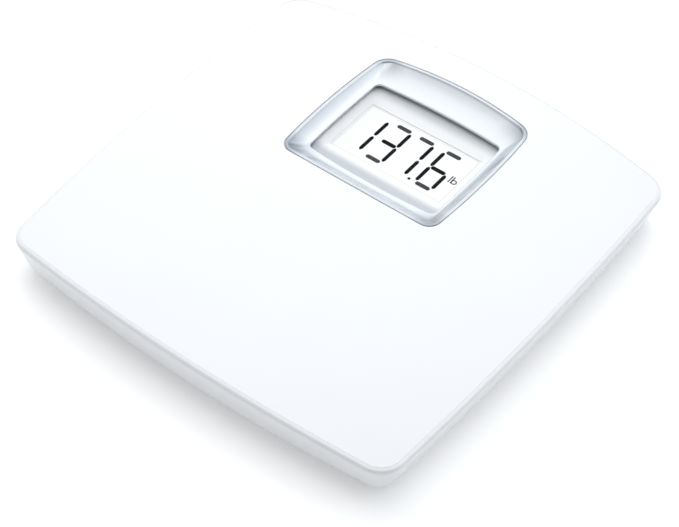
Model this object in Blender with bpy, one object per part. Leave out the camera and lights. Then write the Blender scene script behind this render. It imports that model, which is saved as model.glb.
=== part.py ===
"""Digital bathroom scale: a crowned plastic platform with an extra-large recessed display.

Metres, +Z up. The origin is on the floor under the middle of the platform. +Y points from the
front edge to the display edge, and +X to the right of a person who stands on the scale.
"""

import math

import bmesh
import bpy
from mathutils import Matrix, Vector

GAP = 0.0003  # left between pieces that touch
OVERCUT = 0.006  # how far a cutter runs past the wall that it cuts

# Platform: bowed outline with round corners, crowned top, skirt that tapers inwards
WIDTH = 0.325
DEPTH = 0.3287
BACK_WIDENING = 0.0204  # share by which the back is wider, and the front narrower, than WIDTH
FRONT_BOW = 0.0077
SIDE_BOW = 0.0043
BACK_BOW = 0.0140
FRONT_CORNER = 0.0188
BACK_CORNER = 0.0198
PLATFORM_TOP = 0.0374
CROWN_SIDE_DROP = 0.0057
CROWN_END_DROP = 0.0039
RIM_RADIUS = 0.0025
SKIRT_BOTTOM = 0.0070
SKIRT_TAPER_SIDE = 0.0057
SKIRT_TAPER_END = 0.0047
WALL = 0.0025
RIB_BOTTOM = 0.0225
RIB_THICKNESS = 0.0018
RIB_SHARES_ACROSS = (-1, -0.5, 0, 1)  # places of the ribs along Y, as shares of the feet's
RIB_SHARES_ALONG = (-1, -0.45, 0, 0.45, 1)  # places of the ribs along X, as shares of the feet's

# Display opening, bezel, window and the tapered surround behind the window
DISPLAY_FROM_BACK = 0.09435
DISPLAY_Y = DEPTH / 2 - DISPLAY_FROM_BACK
BEZEL_WIDTH = 0.1310
BEZEL_DEPTH = 0.1240
BEZEL_Y = DISPLAY_Y + 0.0038
BEZEL_BOWS = (0.0006, 0.0020, 0.0048)
BEZEL_CORNERS = (0.0095, 0.0130)
BEZEL_RIM = 0.0030
BEZEL_RIM_THICKNESS = 0.0010
BEZEL_REBATE = 0.0026  # width of the ledge that the bezel's rim lies on
BEZEL_SKIRT = 0.0035
WINDOW_WIDTH = 0.1060
WINDOW_DEPTH = 0.0830
WINDOW_Y = DISPLAY_Y - 0.0011
WINDOW_BOWS = (0.0020, 0.0008, 0.0020)
WINDOW_CORNERS = (0.0045, 0.0045)
WINDOW_RECESS = 0.0071  # from the crown down to the bezel's inner lip
LIP_THICKNESS = 0.0015
PANE_THICKNESS = 0.0015
PANE_MARGIN = 0.0030
SURROUND_MARGIN = 0.0050
SURROUND_THICKNESS = 0.0015
SLOPE_POWER = 1.6  # how much steeper the bezel's slope is at its top than an even one
SLOPE_SHARES = (0.2, 0.45, 0.72)
EAR_OUTSET = 0.0085
EAR_SPREAD = 0.0250
EAR_RADIUS = 0.0042
BOARD_POST_WALL = 0.0015

# Liquid crystal cell, its holder and the circuit board
LCD_RECESS = 0.0143  # from the crown down to the face of the cell
LCD_VIEW_WIDTH = 0.0930
LCD_VIEW_DEPTH = 0.0495
LCD_MARGIN = 0.0022
LCD_THICKNESS = 0.0020
REFLECTOR_THICKNESS = 0.0004
HOLDER_WALL = 0.0017
HOLDER_LEDGE = 0.0030
ZEBRA_WIDTH = 0.0024
SQUARE_BOW = 0.0001
VIEW_CORNER = 0.0010
BOARD_WIDTH = 0.1200
BOARD_DEPTH = 0.0740
BOARD_THICKNESS = 0.0016
BOARD_BELOW_LCD = 0.0060
BOARD_SCREW_INSET_X = 0.0040
BOARD_SCREW_INSET_Y = 0.0050
CHIP_X = 0.0120
CHIP_PROFILE = ((0.0035, 0.0016), (0.0065, 0.0011), (0.0078, 0.0))  # radius, drop below the board
CRYSTAL_SIZE = (0.0060, 0.0020, 0.0022)
CRYSTAL_X, CRYSTAL_OFFSET_Y = -0.0095, -0.0020
CAPACITOR_SIZE = (0.0060, 0.0040, 0.0026)
CAPACITOR_X, CAPACITOR_OFFSET_Y = -0.0210, -0.0070

# Base tray
TRAY_BOTTOM = 0.0080
TRAY_THICKNESS = 0.0025
TRAY_CLEARANCE = 0.0005
TRAY_WALL_HEIGHT = 0.0040
TRAY_WALL = 0.0018
CELL_REST_WIDTH = 0.0032

# Feet and load cells
FOOT_FROM_SIDE = 0.0425
FOOT_FROM_END = 0.04435
FOOT_X = WIDTH / 2 - FOOT_FROM_SIDE
FOOT_Y = DEPTH / 2 - FOOT_FROM_END
CUP_RADIUS = 0.0170
CUP_CHAMFER = (0.0015, 0.0012)
CUP_FLANGE_WIDTH = 0.0016
CUP_FLANGE_THICKNESS = 0.0012
PAD_MARGIN = 0.0020  # from the cup's side in to the pad's side
PAD_THICKNESS = 0.0020
PAD_CHAMFER = 0.0006
CUP_CLEARANCE = 0.0006
CUP_BOSS_RADIUS = 0.0045
CUP_BOSS_HEIGHT = 0.0010
CELL_SIDE = 0.0340
CELL_THICKNESS = 0.0020
CELL_ARM = 0.0055
CELL_TONGUE_WIDTH = 0.0130
CELL_SLOT_LENGTH = 0.0230
CELL_BRIDGE_SLOT = 0.0022
GAUGE_SIZE = (0.0090, 0.0050, 0.0006)
GAUGE_FROM_SLOT = 0.0015
SEAT_WALL = 0.0040

# Screws: head radius, head height, shank radius, shank length
TRAY_SCREW = (0.0028, 0.0016, 0.0015, 0.0120)
SMALL_SCREW = (0.0022, 0.0013, 0.0010, 0.0060)
BOSS_WALL = 0.0025
SCREW_SINK = 0.0008  # from a tray screw's seat up to the tray's underside
HEAD_ROUND = (0.0004, 0.0005)
SCREW_TIP = (0.0003, 0.0010)  # radius of the point, length of the taper
TRAY_SCREW_FROM_EDGE = (0.0225, 0.02435)
TRAY_SCREW_SPOTS = [
    (sx * x, sy * y)
    for x, y in (
        (0.0620, DEPTH / 2 - TRAY_SCREW_FROM_EDGE[1]),
        (WIDTH / 2 - TRAY_SCREW_FROM_EDGE[0], 0.0560),
    )
    for sx in (-1, 1)
    for sy in (-1, 1)
]

# Battery compartment, open at the underside, with a hinged door
CELL_X, CELL_Y = 0.0, -0.0450
COIN_RADIUS = 0.0100
COIN_THICKNESS = 0.0032
COIN_CHAMFER = 0.0004
COIN_CAP_STEP = (0.0012, 0.0009)
DOOR_MARGIN = (0.0050, 0.0040)  # from the coin cell's edge to the door's sides and to its ends
DOOR_WIDTH = 2 * (COIN_RADIUS + DOOR_MARGIN[0])
DOOR_LENGTH = 2 * (COIN_RADIUS + DOOR_MARGIN[1])
DOOR_THICKNESS = 0.0018
DOOR_CLEARANCE = 0.0004
DOOR_TAB = (0.0100, 0.0026, 0.0008)
DOOR_TAB_ROOT = 0.0010
FINGER_NOTCH = (0.0120, 0.0035, 0.0012)
COIN_ABOVE_DOOR = 0.0016
HINGE_PEG = 0.0016
COMPARTMENT_HEIGHT = 0.0080
COMPARTMENT_WALL = 0.0015
CONTACT_THICKNESS = 0.0004
CONTACT_WIDTH = 0.0050
NEGATIVE_LEAF = ((-0.0120, 1), (-0.0070, 1), (-0.0030, 0), (0.0030, 0), (0.0055, 0.25))  # x, share of rise
CLIP_SPREAD = (0.0003, 0.0012, 0.0022)  # how far the positive clip leans out on its way up
CLIP_BEND = 0.0006

# Unit switch on the board's underside; its knob reaches through a slot in the tray
SWITCH_X, SWITCH_Y = -0.0420, 0.0460
SWITCH_SIZE = (0.0120, 0.0056)
KNOB_SIZE = (0.0030, 0.0022)
KNOB_TRAVEL = 0.0020
KNOB_DEPTH_IN_BODY = 0.0012
KNOB_REACH = 0.0006  # how far the knob stands below the tray

LEAD_RADIUS = 0.0011
BATTERY_LEAD_RADIUS = 0.0008
LEAD_STEP = 0.0120  # between the points read from a lead's smooth route
LEAD_LIFT = 0.0008  # a sensor lead's clearance over its load cell
GATE_SIDE_CLEARANCE = 0.0008
GATE_HEADROOM = 0.0030
LEAD_START_GAP = 0.0010  # from the gauge's side to the lead's end
LEAD_BEND = (0.0060, 0.0006)  # from the load cell's edge, and above the middle of its drop
LEAD_LANDING = (0.0110, 0.0030)  # where it meets the tray, inwards and lengthwise
LEAD_BOARD_INSET = 0.0040
FRONT_LEAD_ROUTE = (
    (0.0860, -0.0800), (0.0820, -0.0300), (0.0800, 0.0150),
    (0.0720, DISPLAY_Y - 0.0250), (0.0640, DISPLAY_Y - 0.0140))
FRONT_LEAD_END = DISPLAY_Y - 0.0100
BACK_LEAD_ROUTE = ((0.0800, DISPLAY_Y + 0.0380), (0.0680, DISPLAY_Y + 0.0260))
BACK_LEAD_END = DISPLAY_Y + 0.0160
BATTERY_LEAD_X = (0.0040, 0.0042, 0.0050, 0.0080, 0.0070, 0.0060)  # at each point of its route
BATTERY_LEAD_EXIT = 0.0012  # below the compartment's roof
BATTERY_LEAD_FALL = (0.0040, 0.0010)  # distance behind the compartment, drop
BATTERY_LEAD_LANDING = 0.0110
BATTERY_LEAD_BOARD = (-0.0060, 0.0040)  # before and behind the board's front edge

SIDE_STEPS = 8
CORNER_STEPS = 5
ROUND_STEPS = 24
SMALL_STEPS = 10

LIP_Z = PLATFORM_TOP - WINDOW_RECESS - CROWN_END_DROP * (2 * DISPLAY_Y / DEPTH) ** 2
LCD_TOP = LIP_Z + WINDOW_RECESS - LCD_RECESS
PANE_TOP = LIP_Z - LIP_THICKNESS - GAP
SURROUND_TOP = PANE_TOP - PANE_THICKNESS - GAP
BOARD_TOP = LCD_TOP - BOARD_BELOW_LCD
BOARD_BOTTOM = BOARD_TOP - BOARD_THICKNESS
TRAY_TOP = TRAY_BOTTOM + TRAY_THICKNESS
FLANGE_BOTTOM = TRAY_TOP + GAP
FLANGE_TOP = FLANGE_BOTTOM + CUP_FLANGE_THICKNESS
CELL_BOTTOM = FLANGE_TOP + CUP_BOSS_HEIGHT + GAP
CELL_TOP = CELL_BOTTOM + CELL_THICKNESS
DOOR_BOTTOM = TRAY_BOTTOM
COIN_BOTTOM = DOOR_BOTTOM + DOOR_THICKNESS + COIN_ABOVE_DOOR
LCD_WIDTH = LCD_VIEW_WIDTH + 2 * LCD_MARGIN
LCD_DEPTH = LCD_VIEW_DEPTH + 2 * LCD_MARGIN
EAR_X = BEZEL_WIDTH / 2 + EAR_OUTSET
SCREW_HOLE = SMALL_SCREW[2] + GAP


def crown(x, y):
    """Height of the platform's top surface."""
    return PLATFORM_TOP - CROWN_SIDE_DROP * (2 * x / WIDTH) ** 2 - CROWN_END_DROP * (2 * y / DEPTH) ** 2


# --- Outlines --------------------------------------------------------------------------------


def bowed_run(start, end, bow, radii, steps):
    """(point, normal) pairs along an arc from start to end that bulges to its right by bow,
    each moved out along its normal by a radius that runs from radii[0] to radii[1]."""
    chord = end - start
    along = chord.normalized()
    out = Vector((along.y, -along.x))
    bend = (chord.length**2 / 4 + bow**2) / (2 * bow)
    centre = (start + end) / 2 - out * (bend - bow)
    half = math.asin(chord.length / 2 / bend)
    pairs = []
    for i in range(steps + 1):
        share = i / steps
        turn = half * (2 * share - 1)
        normal = out * math.cos(turn) + along * math.sin(turn)
        radius = radii[0] + (radii[1] - radii[0]) * share
        pairs.append((centre + normal * (bend + radius), normal))
    return pairs


def rounded_outline(front, back, depth, bows, corners, centre_y=0.0):
    """(point, outward normal) pairs, anticlockwise, of a four-sided outline with bowed sides and
    round corners. bows are front, side and back; corners are the front and back radii."""
    front_bow, side_bow, back_bow = bows
    spots = [
        Vector((sign * (width / 2 - side_bow - radius), end * (depth / 2 - bow - radius)))
        for sign, end, width, bow, radius in (
            (-1, -1, front, front_bow, corners[0]),
            (1, -1, front, front_bow, corners[0]),
            (1, 1, back, back_bow, corners[1]),
            (-1, 1, back, back_bow, corners[1]),
        )
    ]
    run_bows = (front_bow, side_bow, back_bow, side_bow)
    run_radii = [(corners[0], corners[0]), corners, (corners[1], corners[1]), corners[::-1]]
    runs = [
        bowed_run(spots[i], spots[(i + 1) % 4], run_bows[i], run_radii[i], SIDE_STEPS) for i in range(4)
    ]
    pairs = []
    for i, run in enumerate(runs):
        pairs += run
        start = run[-1][1]
        turn = start.angle_signed(runs[(i + 1) % 4][0][1])
        radius = run_radii[i][1]
        middle = run[-1][0] - start * radius
        for step in range(1, CORNER_STEPS):
            normal = start.copy()
            normal.rotate(Matrix.Rotation(-turn * step / CORNER_STEPS, 2))
            pairs.append((middle + normal * radius, normal))
    return [(point + Vector((0, centre_y)), normal) for point, normal in pairs]


PLATFORM = rounded_outline(
    WIDTH * (1 - BACK_WIDENING),
    WIDTH * (1 + BACK_WIDENING),
    DEPTH,
    (FRONT_BOW, SIDE_BOW, BACK_BOW),
    (FRONT_CORNER, BACK_CORNER),
)
BEZEL = rounded_outline(BEZEL_WIDTH, BEZEL_WIDTH, BEZEL_DEPTH, BEZEL_BOWS, BEZEL_CORNERS, BEZEL_Y)
WINDOW = rounded_outline(
    WINDOW_WIDTH, WINDOW_WIDTH, WINDOW_DEPTH, WINDOW_BOWS, WINDOW_CORNERS, WINDOW_Y
)
LCD_VIEW = rounded_outline(
    LCD_VIEW_WIDTH, LCD_VIEW_WIDTH, LCD_VIEW_DEPTH, (SQUARE_BOW,) * 3, (VIEW_CORNER,) * 2, DISPLAY_Y
)


def ring(pairs, outset, height):
    """The outline moved out by outset, at a height that is a number or a function of x and y."""
    points = [point + normal * outset for point, normal in pairs]
    return [Vector((p.x, p.y, height(p.x, p.y) if callable(height) else height)) for p in points]


def below_crown(depth):
    return lambda x, y: crown(x, y) - depth


# --- Mesh building -----------------------------------------------------------------------------


def make_object(name, mesh_builder):
    """An object called name from a bmesh, with its normals turned outwards."""
    bmesh.ops.remove_doubles(mesh_builder, verts=mesh_builder.verts, dist=1e-7)
    bmesh.ops.recalc_face_normals(mesh_builder, faces=mesh_builder.faces)
    mesh = bpy.data.meshes.new(name)
    mesh_builder.to_mesh(mesh)
    mesh_builder.free()
    thing = bpy.data.objects.new(name, mesh)
    bpy.context.scene.collection.objects.link(thing)
    return thing


def loft(name, rings, closed=False):
    """A skin over the rings. closed joins the last ring to the first, and otherwise a fan from
    the middle of each end ring caps it."""
    builder = bmesh.new()
    rows = [[builder.verts.new(point) for point in points] for points in rings]
    count = len(rows[0])
    pairs = list(zip(rows, rows[1:]))
    if closed:
        pairs.append((rows[-1], rows[0]))
    for low, high in pairs:
        for i in range(count):
            j = (i + 1) % count
            builder.faces.new((low[i], low[j], high[j]))
            builder.faces.new((low[i], high[j], high[i]))
    if not closed:
        for row in (rows[0], rows[-1]):
            middle = builder.verts.new(sum((vert.co for vert in row), Vector()) / count)
            for i in range(count):
                builder.faces.new((row[i], row[(i + 1) % count], middle))
    return make_object(name, builder)


def box(name, low, high):
    builder = bmesh.new()
    bmesh.ops.create_cube(builder, size=1)
    low, high = Vector(low), Vector(high)
    bmesh.ops.scale(builder, verts=builder.verts, vec=high - low)
    bmesh.ops.translate(builder, verts=builder.verts, vec=(low + high) / 2)
    return make_object(name, builder)


def turned(name, centre, profile, steps=ROUND_STEPS):
    """A solid of revolution about a vertical axis; profile lists (radius, z) from the bottom up."""
    circle = [
        (math.cos(2 * math.pi * i / steps), math.sin(2 * math.pi * i / steps)) for i in range(steps)
    ]
    return loft(
        name, [[Vector((centre[0] + r * c, centre[1] + r * s, z)) for c, s in circle] for r, z in profile]
    )


def post(name, centre, radius, bottom, top, steps=SMALL_STEPS):
    return turned(name, centre, [(radius, bottom), (radius, top)], steps)


def folded_strip(name, points, width, thickness, across):
    """A strip of sheet metal that follows points, a path in a plane square to the vector across."""
    across = Vector(across)
    points = [Vector(point) for point in points]
    sections = []
    for i, point in enumerate(points):
        before = points[max(i - 1, 0)]
        after = points[min(i + 1, len(points) - 1)]
        normal = (after - before).normalized().cross(across)
        corners = ((-1, -1), (1, -1), (1, 1), (-1, 1))
        sections.append([point + across * (a * width / 2) + normal * (b * thickness / 2) for a, b in corners])
    return loft(name, sections)


def lead(name, points, radius, material):
    """A wire along a smooth curve through points, as a bevelled curve with filled caps."""
    points = [Vector(point) for point in points]
    padded = [2 * points[0] - points[1], *points, 2 * points[-1] - points[-2]]
    smooth = []
    for i in range(1, len(padded) - 2):
        a, b, c, d = padded[i - 1 : i + 3]
        steps = max(2, round((c - b).length / LEAD_STEP))
        for step in range(steps):
            t = step / steps
            smooth.append(
                0.5 * (2 * b + (c - a) * t + (2 * a - 5 * b + 4 * c - d) * t * t
                       + (3 * b - a - 3 * c + d) * t**3)
            )
    smooth.append(points[-1])
    curve = bpy.data.curves.new(name, "CURVE")
    curve.dimensions = "3D"
    curve.bevel_depth = radius
    curve.bevel_resolution = 2
    curve.use_fill_caps = True
    spline = curve.splines.new("POLY")
    spline.points.add(len(smooth) - 1)
    for spot, point in zip(spline.points, smooth):
        spot.co = (*point, 1)
    thing = bpy.data.objects.new(name, curve)
    bpy.context.scene.collection.objects.link(thing)
    curve.materials.append(material)
    return thing


def combine(target, operation, others):
    """Applies one exact Boolean for each of the other objects to the target, and removes them."""
    for other in others:
        modifier = target.modifiers.new(operation.title(), "BOOLEAN")
        modifier.operation = operation
        modifier.solver = "EXACT"
        modifier.object = other
        evaluated = target.evaluated_get(bpy.context.evaluated_depsgraph_get())
        result = bpy.data.meshes.new_from_object(evaluated)
        target.modifiers.clear()
        target.data = result
        bpy.data.objects.remove(other)
    return target


def finish(thing, material, smooth=True):
    thing.data.materials.clear()
    thing.data.materials.append(material)
    if smooth:
        thing.data.shade_smooth()
        thing.data.set_sharp_from_angle(angle=math.radians(30))
    return thing


def make_material(name, colour, roughness, metallic=0.0, alpha=1.0):
    material = bpy.data.materials.new(name)
    material.use_nodes = True
    shader = material.node_tree.nodes["Principled BSDF"]
    shader.inputs["Base Color"].default_value = (*colour, 1)
    shader.inputs["Roughness"].default_value = roughness
    shader.inputs["Metallic"].default_value = metallic
    shader.inputs["Alpha"].default_value = alpha
    material.diffuse_color = (*colour, alpha)
    return material


# --- Platform cover ------------------------------------------------------------------------------


def skirt_inset(pair, height):
    """How far the skirt has drawn in at this height, at one place on the outline."""
    point, normal = pair
    rim = crown(point.x, point.y) - RIM_RADIUS
    taper = SKIRT_TAPER_SIDE + (SKIRT_TAPER_END - SKIRT_TAPER_SIDE) * normal.y**2
    return taper * (rim - height) / (rim - SKIRT_BOTTOM)


def skirt_ring(offset, height):
    points = []
    for pair in PLATFORM:
        point, normal = pair
        spot = point - normal * (skirt_inset(pair, height) + offset)
        points.append(Vector((spot.x, spot.y, height)))
    return points


def platform_solid(name, offset, bottom):
    """The space under the platform's surface, drawn in by offset, down to the height bottom."""
    radius = max(RIM_RADIUS - offset, GAP)
    rings = [skirt_ring(offset, bottom)]
    for degrees in (0, 30, 60, 90):
        angle = math.radians(degrees)
        inset = offset + radius * (1 - math.cos(angle))
        fall = offset + radius * (1 - math.sin(angle))
        rings.append([
            Vector(((p - n * inset).x, (p - n * inset).y, crown(p.x, p.y) - fall)) for p, n in PLATFORM])
    edge = rings[-1]
    for share in (0.8, 0.55, 0.3):
        spots = [(p.x * share, p.y * share) for p in edge]
        rings.append([Vector((x, y, crown(x, y) - offset)) for x, y in spots])
    rings.append([Vector((0, 0, crown(0, 0) - offset)) for _ in edge])
    return loft(name, rings)


def rib_frame():
    """Ribs, screw bosses and load cell seats, made tall so that the platform can trim their tops."""
    high = PLATFORM_TOP + OVERCUT
    half = RIB_THICKNESS / 2
    parts = [
        box("rib", (-WIDTH, share * FOOT_Y - half, RIB_BOTTOM), (WIDTH, share * FOOT_Y + half, high))
        for share in RIB_SHARES_ACROSS
    ]
    parts += [
        box("rib", (share * FOOT_X - half, -DEPTH, RIB_BOTTOM), (share * FOOT_X + half, DEPTH, high))
        for share in RIB_SHARES_ALONG
    ]
    frame = combine(parts[0], "UNION", parts[1:])
    bay_half = BEZEL_WIDTH / 2 + EAR_RADIUS
    bay_front = BEZEL_Y - BEZEL_DEPTH / 2 - EAR_RADIUS
    bay_back = BEZEL_Y + BEZEL_DEPTH / 2 + EAR_RADIUS
    bay = box("bay", (-bay_half, bay_front, 0), (bay_half, bay_back, high + OVERCUT))
    combine(frame, "DIFFERENCE", [bay])
    posts = [screw_boss(spot, TRAY_SCREW, BOSS_WALL, TRAY_TOP + GAP, high) for spot in TRAY_SCREW_SPOTS]
    ear_wall = EAR_RADIUS - SCREW_HOLE - GAP
    posts += [screw_boss(spot, SMALL_SCREW, ear_wall, SURROUND_TOP + GAP, high) for spot in ear_spots()]
    outer, inner = CELL_SIDE / 2, CELL_SIDE / 2 - SEAT_WALL
    for x, y in foot_spots():
        seat = box("seat", (x - outer, y - outer, CELL_TOP + GAP), (x + outer, y + outer, high))
        corners = (x - inner, y - inner, 0), (x + inner, y + inner, high + OVERCUT)
        hollows = [box("hollow", *corners) for _ in range(2)]
        combine(frame, "DIFFERENCE", hollows[:1])
        posts.append(combine(seat, "DIFFERENCE", [hollows[1], lead_gate(x, y)]))
    return combine(frame, "UNION", posts)


def screw_boss(spot, size, wall, bottom, top):
    """A round post with a blind pilot hole up its middle, as deep as the screw is long."""
    hole = size[2] + GAP
    ceiling = bottom + size[3]
    return turned("boss", spot, [(hole, ceiling), (hole, bottom), (hole + wall, bottom), (hole + wall, top)],
                  SMALL_STEPS)


def foot_spots():
    return [(sx * FOOT_X, sy * FOOT_Y) for sx, sy in ((-1, -1), (1, -1), (1, 1), (-1, 1))]


def lead_gate(x, y):
    """Cutter for the gate in a load cell seat that its lead passes through, on the inner side."""
    half = LEAD_RADIUS + GAP + GATE_SIDE_CLEARANCE
    inward = -math.copysign(1, x)
    ends = sorted((x, x + inward * (CELL_SIDE / 2 + OVERCUT)))
    low = CELL_TOP - OVERCUT
    high = CELL_TOP + 2 * LEAD_RADIUS + GATE_HEADROOM
    return box("gate", (ends[0], y - half, low), (ends[1], y + half, high))


def platform_cover(material):
    cover = platform_solid("platform_cover", 0.0, SKIRT_BOTTOM)
    combine(cover, "DIFFERENCE", [platform_solid("hollow", WALL, SKIRT_BOTTOM - OVERCUT)])
    frame = combine(rib_frame(), "INTERSECT", [platform_solid("trim", WALL / 2, TRAY_TOP)])
    combine(cover, "UNION", [frame])
    opening = loft("opening", [
        ring(BEZEL, -BEZEL_REBATE, SURROUND_TOP), ring(BEZEL, -BEZEL_REBATE, PLATFORM_TOP + OVERCUT)])
    rebate = loft("rebate", [
        ring(BEZEL, GAP, below_crown(BEZEL_RIM_THICKNESS + GAP)), ring(BEZEL, GAP, PLATFORM_TOP + OVERCUT)])
    combine(cover, "DIFFERENCE", [opening, rebate])
    return finish(cover, material)


def ear_spots():
    return [(side * EAR_X, DISPLAY_Y + end * EAR_SPREAD) for side in (-1, 1) for end in (-1, 1)]


# --- Display ---------------------------------------------------------------------------------------


def display_bezel(material):
    """A silver dish: a narrow flat rim on the platform, then a concave slope down to the window."""
    inner_rim = ring(BEZEL, -BEZEL_RIM, below_crown(0))
    lip = ring(WINDOW, 0, LIP_Z)
    slope = []
    for share in SLOPE_SHARES:
        fall = 1 - (1 - share) ** SLOPE_POWER
        slope.append([
            Vector((a.x + (b.x - a.x) * share, a.y + (b.y - a.y) * share, a.z + (b.z - a.z) * fall))
            for a, b in zip(inner_rim, lip)
        ])
    skirt = BEZEL_REBATE + GAP
    rings = [
        ring(BEZEL, 0, below_crown(BEZEL_RIM_THICKNESS)),
        ring(BEZEL, 0, below_crown(0)),
        inner_rim,
        *slope,
        lip,
        ring(WINDOW, 0, LIP_Z - LIP_THICKNESS),
        ring(WINDOW, LIP_THICKNESS, LIP_Z - LIP_THICKNESS),
        ring(BEZEL, -skirt, below_crown(BEZEL_SKIRT)),
        ring(BEZEL, -skirt, below_crown(BEZEL_RIM_THICKNESS)),
    ]
    return finish(loft("display_bezel", rings, closed=True), material)


def display_window(material):
    return finish(loft("display_window", [
        ring(WINDOW, PANE_MARGIN, PANE_TOP - PANE_THICKNESS), ring(WINDOW, PANE_MARGIN, PANE_TOP)]), material)


def display_surround(material):
    """The funnel between the window and the cell, with ears to the cover and posts for the board."""
    bottom = SURROUND_TOP - SURROUND_THICKNESS
    lowest = LCD_TOP + GAP
    surround = loft("display_surround", [
        ring(WINDOW, SURROUND_MARGIN, bottom),
        ring(WINDOW, SURROUND_MARGIN, SURROUND_TOP),
        ring(WINDOW, SURROUND_THICKNESS, SURROUND_TOP),
        ring(LCD_VIEW, 0, lowest + GAP),
        ring(LCD_VIEW, 0, lowest),
        ring(LCD_VIEW, SURROUND_THICKNESS, lowest),
        ring(WINDOW, -SURROUND_THICKNESS, bottom),
    ], closed=True)
    root = WINDOW_WIDTH / 2 + SURROUND_THICKNESS
    additions = []
    for x, y in ear_spots():
        ends = sorted((math.copysign(root, x), x))
        additions.append(box("arm", (ends[0], y - EAR_RADIUS / 2, bottom + GAP),
                             (ends[1], y + EAR_RADIUS / 2, SURROUND_TOP - GAP)))
        additions.append(post("ear", (x, y), EAR_RADIUS - GAP, bottom, SURROUND_TOP))
    combine(surround, "UNION", additions)
    posts = [
        post("post", spot, SCREW_HOLE + BOARD_POST_WALL, BOARD_TOP + GAP, bottom + 2 * GAP)
        for spot in board_screw_spots()
    ]
    combine(surround, "UNION", posts)
    holes = [post("pilot", spot, SCREW_HOLE, 0, BOARD_TOP + SMALL_SCREW[3]) for spot in board_screw_spots()]
    holes += [post("hole", spot, SCREW_HOLE, 0, PLATFORM_TOP) for spot in ear_spots()]
    return finish(combine(surround, "DIFFERENCE", holes), material)


def board_screw_spots():
    x, y = BOARD_WIDTH / 2 - BOARD_SCREW_INSET_X, BOARD_DEPTH / 2 - BOARD_SCREW_INSET_Y
    return [(side * x, DISPLAY_Y + end * y) for side in (-1, 1) for end in (-1, 1)]


def centred(width, depth):
    """Corners in x and y of a rectangle that is centred on the display."""
    return (-width / 2, DISPLAY_Y - depth / 2), (width / 2, DISPLAY_Y + depth / 2)


def lcd_glass(material):
    low, high = centred(LCD_WIDTH, LCD_DEPTH)
    return finish(box("lcd_glass", (*low, LCD_TOP - LCD_THICKNESS), (*high, LCD_TOP)), material, False)


def lcd_reflector(material):
    low, high = centred(LCD_WIDTH, LCD_DEPTH)
    top = LCD_TOP - LCD_THICKNESS - GAP
    front = low[1] + ZEBRA_WIDTH + 3 * GAP
    return finish(
        box("lcd_reflector", (low[0], front, top - REFLECTOR_THICKNESS), (*high, top)), material, False
    )


def lcd_holder(material):
    """Frame round the cell: a ledge under it on three sides, and a slot for the contact strip."""
    low, high = centred(LCD_WIDTH + 2 * GAP, LCD_DEPTH + 2 * GAP)
    outer_low, outer_high = centred(LCD_WIDTH + 2 * (GAP + HOLDER_WALL), LCD_DEPTH + 2 * (GAP + HOLDER_WALL))
    ledge = LCD_TOP - LCD_THICKNESS - 2 * GAP - REFLECTOR_THICKNESS
    holder = box("lcd_holder", (*outer_low, BOARD_TOP + GAP), (*outer_high, LCD_TOP - GAP))
    pocket = box("pocket", (*low, ledge - GAP), (*high, PLATFORM_TOP))
    window = box("window", (low[0] + HOLDER_LEDGE, low[1], 0),
                 (high[0] - HOLDER_LEDGE, high[1] - HOLDER_LEDGE, PLATFORM_TOP))
    return finish(combine(holder, "DIFFERENCE", [pocket, window]), material, False)


def zebra_strip(material):
    low, high = centred(LCD_WIDTH - 2 * HOLDER_LEDGE - 2 * GAP, LCD_DEPTH)
    return finish(box("zebra_strip", (low[0], low[1], BOARD_TOP + GAP),
                      (high[0], low[1] + ZEBRA_WIDTH, LCD_TOP - LCD_THICKNESS - GAP)), material, False)


def circuit_board(material):
    low, high = centred(BOARD_WIDTH, BOARD_DEPTH)
    board = box("circuit_board", (*low, BOARD_BOTTOM), (*high, BOARD_TOP))
    holes = [post("hole", spot, SCREW_HOLE, 0, PLATFORM_TOP) for spot in board_screw_spots()]
    return finish(combine(board, "DIFFERENCE", holes), material, False)


def control_chip(material):
    """A blob of resin over the bare chip."""
    profile = [(radius, BOARD_BOTTOM - GAP - drop) for radius, drop in CHIP_PROFILE]
    return finish(turned("control_chip", (CHIP_X, DISPLAY_Y), profile), material)


def under_board(name, place, size, material):
    """A block soldered to the underside of the board."""
    top = BOARD_BOTTOM - GAP
    low = (place[0] - size[0] / 2, place[1] - size[1] / 2, top - size[2])
    return finish(box(name, low, (place[0] + size[0] / 2, place[1] + size[1] / 2, top)), material, False)


def timing_crystal(material):
    place = CRYSTAL_X, DISPLAY_Y + CRYSTAL_OFFSET_Y
    return under_board("timing_crystal", place, CRYSTAL_SIZE, material)


def buffer_capacitor(material):
    place = CAPACITOR_X, DISPLAY_Y + CAPACITOR_OFFSET_Y
    return under_board("buffer_capacitor", place, CAPACITOR_SIZE, material)


# --- Base tray, battery compartment and door ---------------------------------------------------------


def door_corners(clearance):
    """Corners in x and y of the battery door, or of its opening where clearance is above zero."""
    return (
        (CELL_X - DOOR_WIDTH / 2 - clearance, CELL_Y - DOOR_LENGTH / 2 - clearance),
        (CELL_X + DOOR_WIDTH / 2 + clearance, CELL_Y + DOOR_LENGTH / 2 + clearance),
    )


def hinge_line():
    """The y and z of the battery door's hinge, along its front edge at half its thickness."""
    return CELL_Y - DOOR_LENGTH / 2 + DOOR_THICKNESS / 2, DOOR_BOTTOM + DOOR_THICKNESS / 2


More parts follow.
